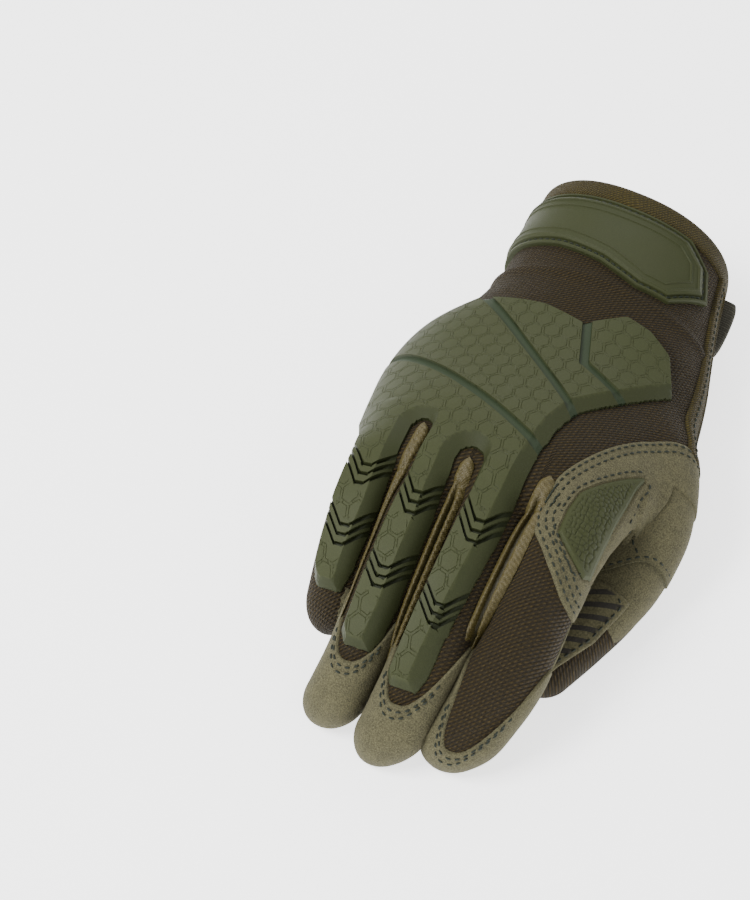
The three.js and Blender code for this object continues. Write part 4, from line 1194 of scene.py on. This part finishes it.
def make_patch():
    """The patch over the web, raised into a fold with a valley beside it, and the pad sunk into it."""
    path = eased(PATCH + [PATCH[0]], 1)[:-1]

    def field(d):
        """Below zero on the patch: inside its outline, off the thumb, and where the skin doesn't face down."""
        return np.maximum.reduce([outside(d[:, 0], d[:, 1], path), -14 - d[:, 2], -thumb_field(d) - 2.5,
                                  8 * (-0.15 - d[:, FACING])])

    def pad_field(d):
        """Signed distance from the pad's outline."""
        return outside(d[:, 0], d[:, 1], PAD)

    zone = keep(base(), lambda d: np.maximum.reduce([80 - d[:, 1], d[:, 1] - 184, 20 - d[:, 0], -18 - d[:, 2]]))
    zone = crease(keep(zone, field), field, -0.25, -0.9)
    zone = crease(zone, pad_field, -0.1, 0.6)
    data = zone[0]
    u, v = data[:, 0], data[:, 1]
    fold = scan(u, v, WEB_FOLD, closed=False)[0]
    raised = edge_round(-field(data), 1.0, 0.9) + 0.12 * crumple(data, 6)
    raised = raised - 0.6 * np.clip((0.6 - pad_field(data)) / 0.7, 0, 1)
    raised = raised + 1.1 * np.exp(-(((fold - 3.2) / 2.2) ** 2)) * (u > 50) - 0.6 * np.exp(-(fold**2))
    # Painted shade along the web fold's valley.
    put_shell("thumb_patch", zone, raised, 0.8, "Suede", shade=0.35 * np.exp(-((fold / 1.3) ** 2)))
    far, order, _, _, _ = scan(u, v, path)
    top_side = data[:, FACING] > 0.05
    upper = top_side & (u < 66) & (v < 145) & (u < 70 - 0.25 * (v - 90)) & ~((u > 50) & (v > 100))
    lower = top_side & (v > 138) & (u < 45) & (u - 26 < (v - 138) * 0.7)
    for row, window in ((1.5, upper), (3.9, upper), (1.5, lower), (3.6, lower), (5.7, lower)):
        seam(zone, raised, far - row, order, window)
    seam(zone, raised, pad_field(data) - 1.8, scan(u, v, PAD)[1], top_side)
    pad = keep(base(), lambda d: np.maximum.reduce([pad_field(d) - 2, -d[:, 2], 100 - d[:, 1]]))
    pad = crease(keep(refine(refine(pad)), pad_field), pad_field, -0.25, -0.8, -1.4)
    data = pad[0]
    line = 1 - pebbles(data[:, 0], data[:, 1] * 0.85, 1.4)
    far = -pad_field(data)
    raised = 0.7 + 0.9 * np.clip(far / 0.8, 0, 1) - 0.3 * line * np.clip((far - 1.4) / 0.4, 0, 1)
    # Painted shade in the lines between the pebbles, away from the rim.
    put_shell("patch_pad", pad, raised, 0.2, "Moulded rubber", shade=0.3 * line * (far > 1.5), sharp=50)


def pebbles(u, v, size):
    """Rounded cells: 1 on a cell, 0 in the line between it and the next nearest of scattered middles."""
    x, y = u / size, v / size
    i, j = np.floor(x), np.floor(y)
    best = np.full((2, len(u)), 9.0)
    for di in (-1, 0, 1):
        for dj in (-1, 0, 1):
            a, b = i + di, j + dj
            px = a + 0.15 + 0.7 * ((np.sin(a * 127.1 + b * 311.7) * 43758.5453) % 1)
            py = b + 0.15 + 0.7 * ((np.sin(a * 269.5 + b * 183.3) * 43758.5453) % 1)
            far = np.hypot(x - px, y - py)
            best = np.sort(np.stack([best[0], best[1], far]), axis=0)[:2]
    return ramp(best[1] - best[0], 0.02, 0.3)


def ring_points(v, offset, count):
    """Points round the hand's section at v, a rounded rectangle grown by offset: the cuff's own outline."""
    turn = 2 * math.pi * np.arange(count) / count
    a, b = (signed_power(wave, 2 / 2.4) for wave in (np.cos(turn), np.sin(turn)))
    left, right, high = np.array(hand_at(v)) + (-offset, offset, offset)
    flat = np.stack([(left + right) / 2 + a * (right - left) / 2, np.broadcast_to(v, a.shape), b * high], -1)
    point = bend(flat)
    point[..., 2] = np.maximum(point[..., 2], 1.5 - offset)
    return point


def make_bindings():
    """The cuff's tape, a rounded profile carried round the cuff, and the side's, raised on the skin along its edge.

    The profile is a squarer ring, 8.8 along the hand by 4.3 across the wall, about the wall's own middle."""
    count, around = 220, 40
    turn = 2 * math.pi * np.arange(around) / around
    along = 2.0 + 4.4 * signed_power(np.cos(turn), 0.55)
    lift = -0.85 + 2.15 * signed_power(np.sin(turn), 0.6)
    points = np.concatenate([ring_points(CUFF_EDGE + a, b, count) for a, b in zip(along, lift)])
    length = np.concatenate([[0], np.cumsum(np.hypot(np.diff(along), np.diff(lift)))])
    tape_v, tape_u = np.meshgrid(length, np.arange(count) * 1.1, indexing="ij")
    outward(put("cuff_binding", points, closed_grid(around, count, True), "Binding tape",
                np.stack([tape_u.ravel(), tape_v.ravel()], 1)))

    def field(d):
        """Below zero on the side's tape: 5.2 above and below its middle height, between cuff and patch."""
        u, v, h = d[:, FLAT].T
        return np.maximum.reduce([np.abs(h - 4) - 5.2, -1.0 - v, v - 92, 20 - u])

    zone = keep(base(), lambda d: np.maximum(d[:, 1] - 100, 20 - d[:, 0]))
    zone = crease(keep(zone, field), field, -0.3, -0.9, -2.9, -3.2, -3.5)
    far = -field(zone[0])
    raised = edge_round(far, 1.5, 0.9) - 0.5 * np.clip((far - 2.9) / 0.4, 0, 1)
    put_shell("side_binding", zone, raised, 0.3, "Binding tape")
    seam(zone, raised, zone[0][:, 2] - 7.0, zone[0][:, 1])


def top_of(u, v):
    """Height of the fingers' and hand's upper side in the layout: the highest of their sections' arches."""
    def arch(a, high, power):
        """Height of a rounded section at the share a of its half width: its superellipse solved for the height."""
        return high * np.clip(1 - np.abs(a) ** power, 0, 1) ** (1 / power)

    left, right, high = hand_at(v)
    past = np.clip((v - 138) / 11, 0, 1)
    out = np.maximum(0, arch((2 * u - left - right) / (right - left), high, 2.4) * np.sqrt(1 - past**2))
    for rows, drop in FINGERS:
        a = (u - column(rows, 1, v)) / column(rows, 2, v)
        out = np.maximum(out, arch(a, column(rows, 3, v), 2.2) - fall_of(rows, drop, v))
    return out


GUSSETS = [  # v, line of the dark valley, width of the strip on its left and on its right, depth of the valley
    ("gusset_little_ring", [
        (130.5, -23.2, 1.9, 2.2, 0.1), (136, -23.0, 2.2, 2.5, 0.3), (146, -23.4, 2.0, 1.8, 0.4),
        (158, -24.0, 1.2, 1.0, 0.5), (180, -24.6, 0.9, 0.9, 0.3), (197, -25.2, 0.5, 0.5, 0)]),
    ("gusset_ring_middle", [
        (140, -3.2, 2.2, 2.4, 0.1), (146, -4.0, 2.0, 3.4, 0.4), (153, -3.8, 2.2, 2.9, 2.0),
        (170, -4.4, 2.3, 2.5, 2.0), (190, -5.4, 2.0, 2.2, 1.8), (206, -6.4, 1.0, 1.0, 0.5)]),
    ("gusset_middle_index", [
        (137, 23.2, 2.6, 3.0, 0.1), (143, 22.6, 2.8, 3.8, 0.3), (150, 21.2, 2.6, 4.6, 3.5), (168, 19.4, 2.6, 4.6, 5.2),
        (182, 18.0, 2.4, 3.2, 4.4), (194, 16.8, 2.0, 1.2, 2.4), (208, 15.2, 0.8, 0.6, 0.5)]),
]


def make_gussets():
    """Two soft strips side by side over the cleft between fingers, folded into a valley, with slanting creases.

    Each ring is a flat loop over the line between the fingers' flanks. Its upper half is puffed into one arch, or
    into two where the valley is deep; the valley is a bell curve of the distance from its line, and the creases
    are waves of the layout's place."""
    count, around = 300, 64
    turn = 2 * math.pi * np.arange(around) / around
    s = signed_power(np.cos(turn), 0.8)
    over = np.clip(np.sin(turn), 0, 1) ** 0.7
    lower = -1.2 * np.clip(-np.sin(turn), 0, 1) ** 0.5
    for name, table in GUSSETS:
        rows = np.array(table)
        t = np.linspace(rows[0, 0], rows[-1, 0], count)
        line, left, right, deep = (column(rows, k, t) for k in (1, 2, 3, 4))
        near = np.minimum(t - t[0], (t[-1] - t) / 3) / 2.2
        left, right = (w * np.sqrt(np.clip(1 - (1 - np.clip(near, 0.02, 1)) ** 2, 0, 1)) for w in (left, right))
        wide, deep = np.where(s < 0, left[:, None], right[:, None]), deep[:, None]
        u = line[:, None] + s * wide
        v = np.broadcast_to(t[:, None], u.shape)
        flanks = [top_of(line - left, t)[:, None], top_of(line + right, t)[:, None]]
        share = (u - (line - left)[:, None]) / (left + right)[:, None]
        plane = np.maximum(flanks[0] * (1 - share) + flanks[1] * share, top_of(u.ravel(), v.ravel()).reshape(u.shape))
        one, two = np.sqrt(1 - s * s), np.abs(np.sin(np.pi * np.clip(np.abs(s), 0.02, 1) ** 0.6)) ** 0.5
        pair = np.clip(deep / 1.5, 0, 1)
        puff = 1.6 * over * (one * (1 - pair) + two * pair)
        folds = 0.16 * np.sin(1.9 * v + 1.4 * u + np.sin(0.6 * v)) + 0.12 * np.sin(3.7 * v - 2.1 * u)
        valley = deep * np.exp(-((s * wide / 0.75) ** 2)) * over
        h = plane + 0.4 + puff + folds * over * np.minimum(wide / 2, 1) - valley + lower
        # Painted shade along the valley's line, the stronger the deeper the valley.
        shade = 0.9 * np.exp(-((s * wide / 0.6) ** 2)) * np.clip(deep / 2, 0, 1)
        put_strip(name, np.stack([u, v, h], -1), "Stretch cloth", shade, sharp=80)


def make_tab():
    """Folded webbing: a flat loop whose free fold stands out from the cuff's thumb side.

    Each ring is a rounded rectangle from inside the hand's edge to the tab's reach, lifted as it goes out."""
    v = np.linspace(0.5, 19.5, 40)
    turn = np.linspace(0, 2 * math.pi, 24, endpoint=False)
    reach = 6.8 * (1 - 0.12 * np.abs((v - 10) / 9.5) ** 6) * (1 - 0.02 * v)
    left, right, high = hand_at(v)
    low = -0.5 - 0.5 * v
    edge = ((left + right) / 2 + (right - left) / 2 * (1 - (-low / high) ** 2.4) ** (1 / 2.4))[:, None]
    x, y = signed_power(np.cos(turn), 0.5), signed_power(np.sin(turn), 0.7)
    across = edge - 1.5 + (reach[:, None] + 1.5) * (x + 1) / 2
    rise = low[:, None] + 1.5 * y + 0.12 * (across - edge) + 0.1 * np.sin(v[:, None] * 5)
    put_strip("pull_tab", np.stack([across, np.broadcast_to(v[:, None], across.shape), rise], -1), "Webbing")


# ---------------------------------------------------------------- operators
def make_finishes():
    """Makes every finish from the colours: roughness, grain scales, relief, and ribs as width, slant and break."""
    c = bpy.context.scene.glove_colours
    grain_group()
    weave_group()
    cloth_material("Knit mesh", c.mesh, 0.9, grain=(120.0, 1500.0), weave=(1.1, 0.95, 2.0), bump=(0.0007, 0.2),
                   deep=0.2, spread=0.3)
    cloth_material("Suede", c.suede, 0.95, grain=(300.0, 2100.0), bump=(0.0003, 1.0), spread=0.42, sheen=0.1)
    cloth_material("Printed suede", c.suede, 0.95, grain=(260.0, 1400.0), bump=(0.0003, 1.0), spread=0.3,
                   tone=c.print_tone)
    cloth_material("Moulded rubber", c.rubber, 0.6, grain=(60.0, 2600.0), bump=(0.00006, 1.0), spread=0.08,
                   tone=c.channel, specular=0.17)
    cloth_material("Stretch cloth", c.stretch, 0.55, grain=(200.0, 1800.0), weave=(0.5, 0.8, 0.6), bump=(0.0001, 0.3),
                   deep=0.8, spread=0.15, sheen=0.3, specular=0.5)
    cloth_material("Binding tape", c.binding, 0.85, grain=(120.0, 1500.0), weave=(0.9, 0.75, 1.3),
                   bump=(0.0005, 0.2), deep=0.3, spread=0.3)
    cloth_material("Webbing", c.webbing, 0.85, grain=(120.0, 1500.0), weave=(0.75, 1.5707, 30.0),
                   bump=(0.0004, 0.2), deep=0.35, spread=0.15)
    cloth_material("Thread", c.thread, 0.7, grain=(900.0, 5000.0), bump=(0.00005, 1.0), spread=0.3)


def make_stitches():
    """Puts every row of stitches that the pieces laid."""
    if not SEAMS:
        raise RuntimeError("the sewn pieces come first")
    put(STITCHES, *stitch_mesh(), "Thread", sharp=180)


FLOOR_REACH = 3
LAMPS = (  # name, place in metres, power, width
    ("key", (-0.6, -0.45, 1.0), 22, 0.6), ("fill", (0.9, -0.7, 0.8), 5, 0.9), ("back", (-0.2, 1.1, 0.9), 8, 0.8))
CAMERA_TURN, CAMERA_RISE = 21.5, 50  # degrees round from the fingers' side, and above the floor
CAMERA_TARGET, CAMERA_FAR = (-0.01583, -0.02983, 0.048), 0.8
CAMERA_LENS, CAMERA_SENSOR = 98.8, 36
CAMERA_SHIFT = (-0.0856, 0.0178)


def make_stage():
    """Pale floor, soft light and the camera at the photograph's angle.

    The camera stands off its target by the distance times the cosines and sines of its turn and rise."""
    mesh = bpy.data.meshes.new("floor")
    corners = [(-FLOOR_REACH, -FLOOR_REACH, 0), (FLOOR_REACH, -FLOOR_REACH, 0), (FLOOR_REACH, FLOOR_REACH, 0),
               (-FLOOR_REACH, FLOOR_REACH, 0)]
    mesh.from_pydata(corners, [], [(0, 1, 2, 3)])
    floor = bpy.data.objects.new("floor", mesh)
    bpy.context.scene.collection.objects.link(floor)
    pale = bpy.data.materials.new("Pale floor")
    pale.use_nodes = True
    shader = pale.node_tree.nodes["Principled BSDF"]
    shader.inputs["Base Color"].default_value = (0.95, 0.95, 0.95, 1)
    shader.inputs["Roughness"].default_value = 0.9
    shader.inputs["Emission Color"].default_value = (1, 1, 1, 1)
    shader.inputs["Emission Strength"].default_value = 2.0
    mesh.materials.append(pale)
    world = bpy.data.worlds.new("Soft light")
    bpy.context.scene.world = world
    world.use_nodes = True
    world.node_tree.nodes["Background"].inputs["Color"].default_value = (1, 1, 1, 1)
    world.node_tree.nodes["Background"].inputs["Strength"].default_value = 0.6
    for name, place, energy, size in LAMPS:
        data = bpy.data.lights.new(name, "AREA")
        data.energy, data.size = energy, size
        lamp = bpy.data.objects.new(name, data)
        lamp.location = place
        lamp.rotation_mode = "QUATERNION"
        lamp.rotation_quaternion = (-Vector(place)).to_track_quat("-Z", "Y")
        bpy.context.scene.collection.objects.link(lamp)
    camera = bpy.data.objects.new("camera", bpy.data.cameras.new("camera"))
    bpy.context.scene.collection.objects.link(camera)
    turn, rise = math.radians(CAMERA_TURN), math.radians(CAMERA_RISE)
    back = Vector((math.sin(turn) * math.cos(rise), -math.cos(turn) * math.cos(rise), math.sin(rise)))
    camera.location = Vector(CAMERA_TARGET) + back * CAMERA_FAR
    camera.rotation_mode = "QUATERNION"
    camera.rotation_quaternion = (-back).to_track_quat("-Z", "Y")
    camera.data.lens, camera.data.sensor_width = CAMERA_LENS, CAMERA_SENSOR
    camera.data.shift_x, camera.data.shift_y = CAMERA_SHIFT
    camera.data.clip_start = 0.05
    bpy.context.scene.camera = camera


class GLOVE_OT_finishes(bpy.types.Operator):
    """Makes the glove's materials."""

    bl_idname = "glove.finishes"
    bl_label = "Finishes"

    def execute(self, context):
        make_finishes()
        return {"FINISHED"}


class GLOVE_OT_skin(bpy.types.Operator):
    """Makes the knit back, the suede palm and the fingertips."""

    bl_idname = "glove.skin"
    bl_label = "Panels"

    def execute(self, context):
        make_skin_panels()
        return {"FINISHED"}


class GLOVE_OT_thumb(bpy.types.Operator):
    """Makes the thumb stall and its printed grip."""

    bl_idname = "glove.thumb"
    bl_label = "Thumb"

    def execute(self, context):
        make_thumb()
        return {"FINISHED"}


class GLOVE_OT_guard(bpy.types.Operator):
    """Makes the moulded knuckle guard."""

    bl_idname = "glove.guard"
    bl_label = "Knuckle guard"

    def execute(self, context):
        make_guard()
        return {"FINISHED"}


class GLOVE_OT_strap(bpy.types.Operator):
    """Makes the moulded wrist strap."""

    bl_idname = "glove.strap"
    bl_label = "Wrist strap"

    def execute(self, context):
        make_strap()
        return {"FINISHED"}


class GLOVE_OT_patch(bpy.types.Operator):
    """Makes the stitched patch and its rubber pad."""

    bl_idname = "glove.patch"
    bl_label = "Thumb patch"

    def execute(self, context):
        make_patch()
        return {"FINISHED"}


class GLOVE_OT_bindings(bpy.types.Operator):
    """Makes the tapes over the cuff's edge and the side's."""

    bl_idname = "glove.bindings"
    bl_label = "Bindings"

    def execute(self, context):
        make_bindings()
        return {"FINISHED"}


class GLOVE_OT_gussets(bpy.types.Operator):
    """Makes the satin strips between the fingers."""

    bl_idname = "glove.gussets"
    bl_label = "Gussets"

    def execute(self, context):
        make_gussets()
        return {"FINISHED"}


class GLOVE_OT_tab(bpy.types.Operator):
    """Makes the folded webbing at the cuff."""

    bl_idname = "glove.tab"
    bl_label = "Pull tab"

    def execute(self, context):
        make_tab()
        return {"FINISHED"}


class GLOVE_OT_stitches(bpy.types.Operator):
    """Lays every row of stitches."""

    bl_idname = "glove.stitches"
    bl_label = "Stitches"

    def execute(self, context):
        make_stitches()
        return {"FINISHED"}


class GLOVE_OT_stage(bpy.types.Operator):
    """Makes the floor, the lights and the camera."""

    bl_idname = "glove.stage"
    bl_label = "Stage"

    def execute(self, context):
        make_stage()
        return {"FINISHED"}


OPERATORS = (GLOVE_OT_finishes, GLOVE_OT_skin, GLOVE_OT_thumb, GLOVE_OT_guard,
             GLOVE_OT_strap, GLOVE_OT_patch, GLOVE_OT_bindings, GLOVE_OT_gussets,
             GLOVE_OT_tab, GLOVE_OT_stitches, GLOVE_OT_stage)


class GLOVE_PT_parts(bpy.types.Panel):
    """Lists the glove's sizes, colours and steps."""

    bl_idname = "GLOVE_PT_parts"
    bl_label = "Tactical glove"
    bl_space_type = "VIEW_3D"
    bl_region_type = "UI"
    bl_category = "Glove"

    def draw(self, context):
        """Every size and colour, then a button for each step."""
        for group in (context.scene.glove_sizes, context.scene.glove_colours):
            for name in group.__annotations__:
                self.layout.prop(group, name)
        for operator in OPERATORS:
            self.layout.operator(operator.bl_idname)


def register():
    """Makes the add-on's classes known, and hangs its sizes and colours on the scene."""
    for kind in (GloveColours, GloveSizes, *OPERATORS, GLOVE_PT_parts):
        bpy.utils.register_class(kind)
    bpy.types.Scene.glove_colours = bpy.props.PointerProperty(type=GloveColours)
    bpy.types.Scene.glove_sizes = bpy.props.PointerProperty(type=GloveSizes)


def unregister():
    """Takes the sizes, colours and classes away again."""
    del bpy.types.Scene.glove_colours, bpy.types.Scene.glove_sizes
    for kind in (GLOVE_PT_parts, *reversed(OPERATORS), GloveSizes, GloveColours):
        bpy.utils.unregister_class(kind)


def main():
    """Runs every step in order."""
    register()
    for operator in OPERATORS:
        getattr(bpy.ops.glove, operator.bl_idname.split(".")[1])()


if __name__ == "__main__":
    main()
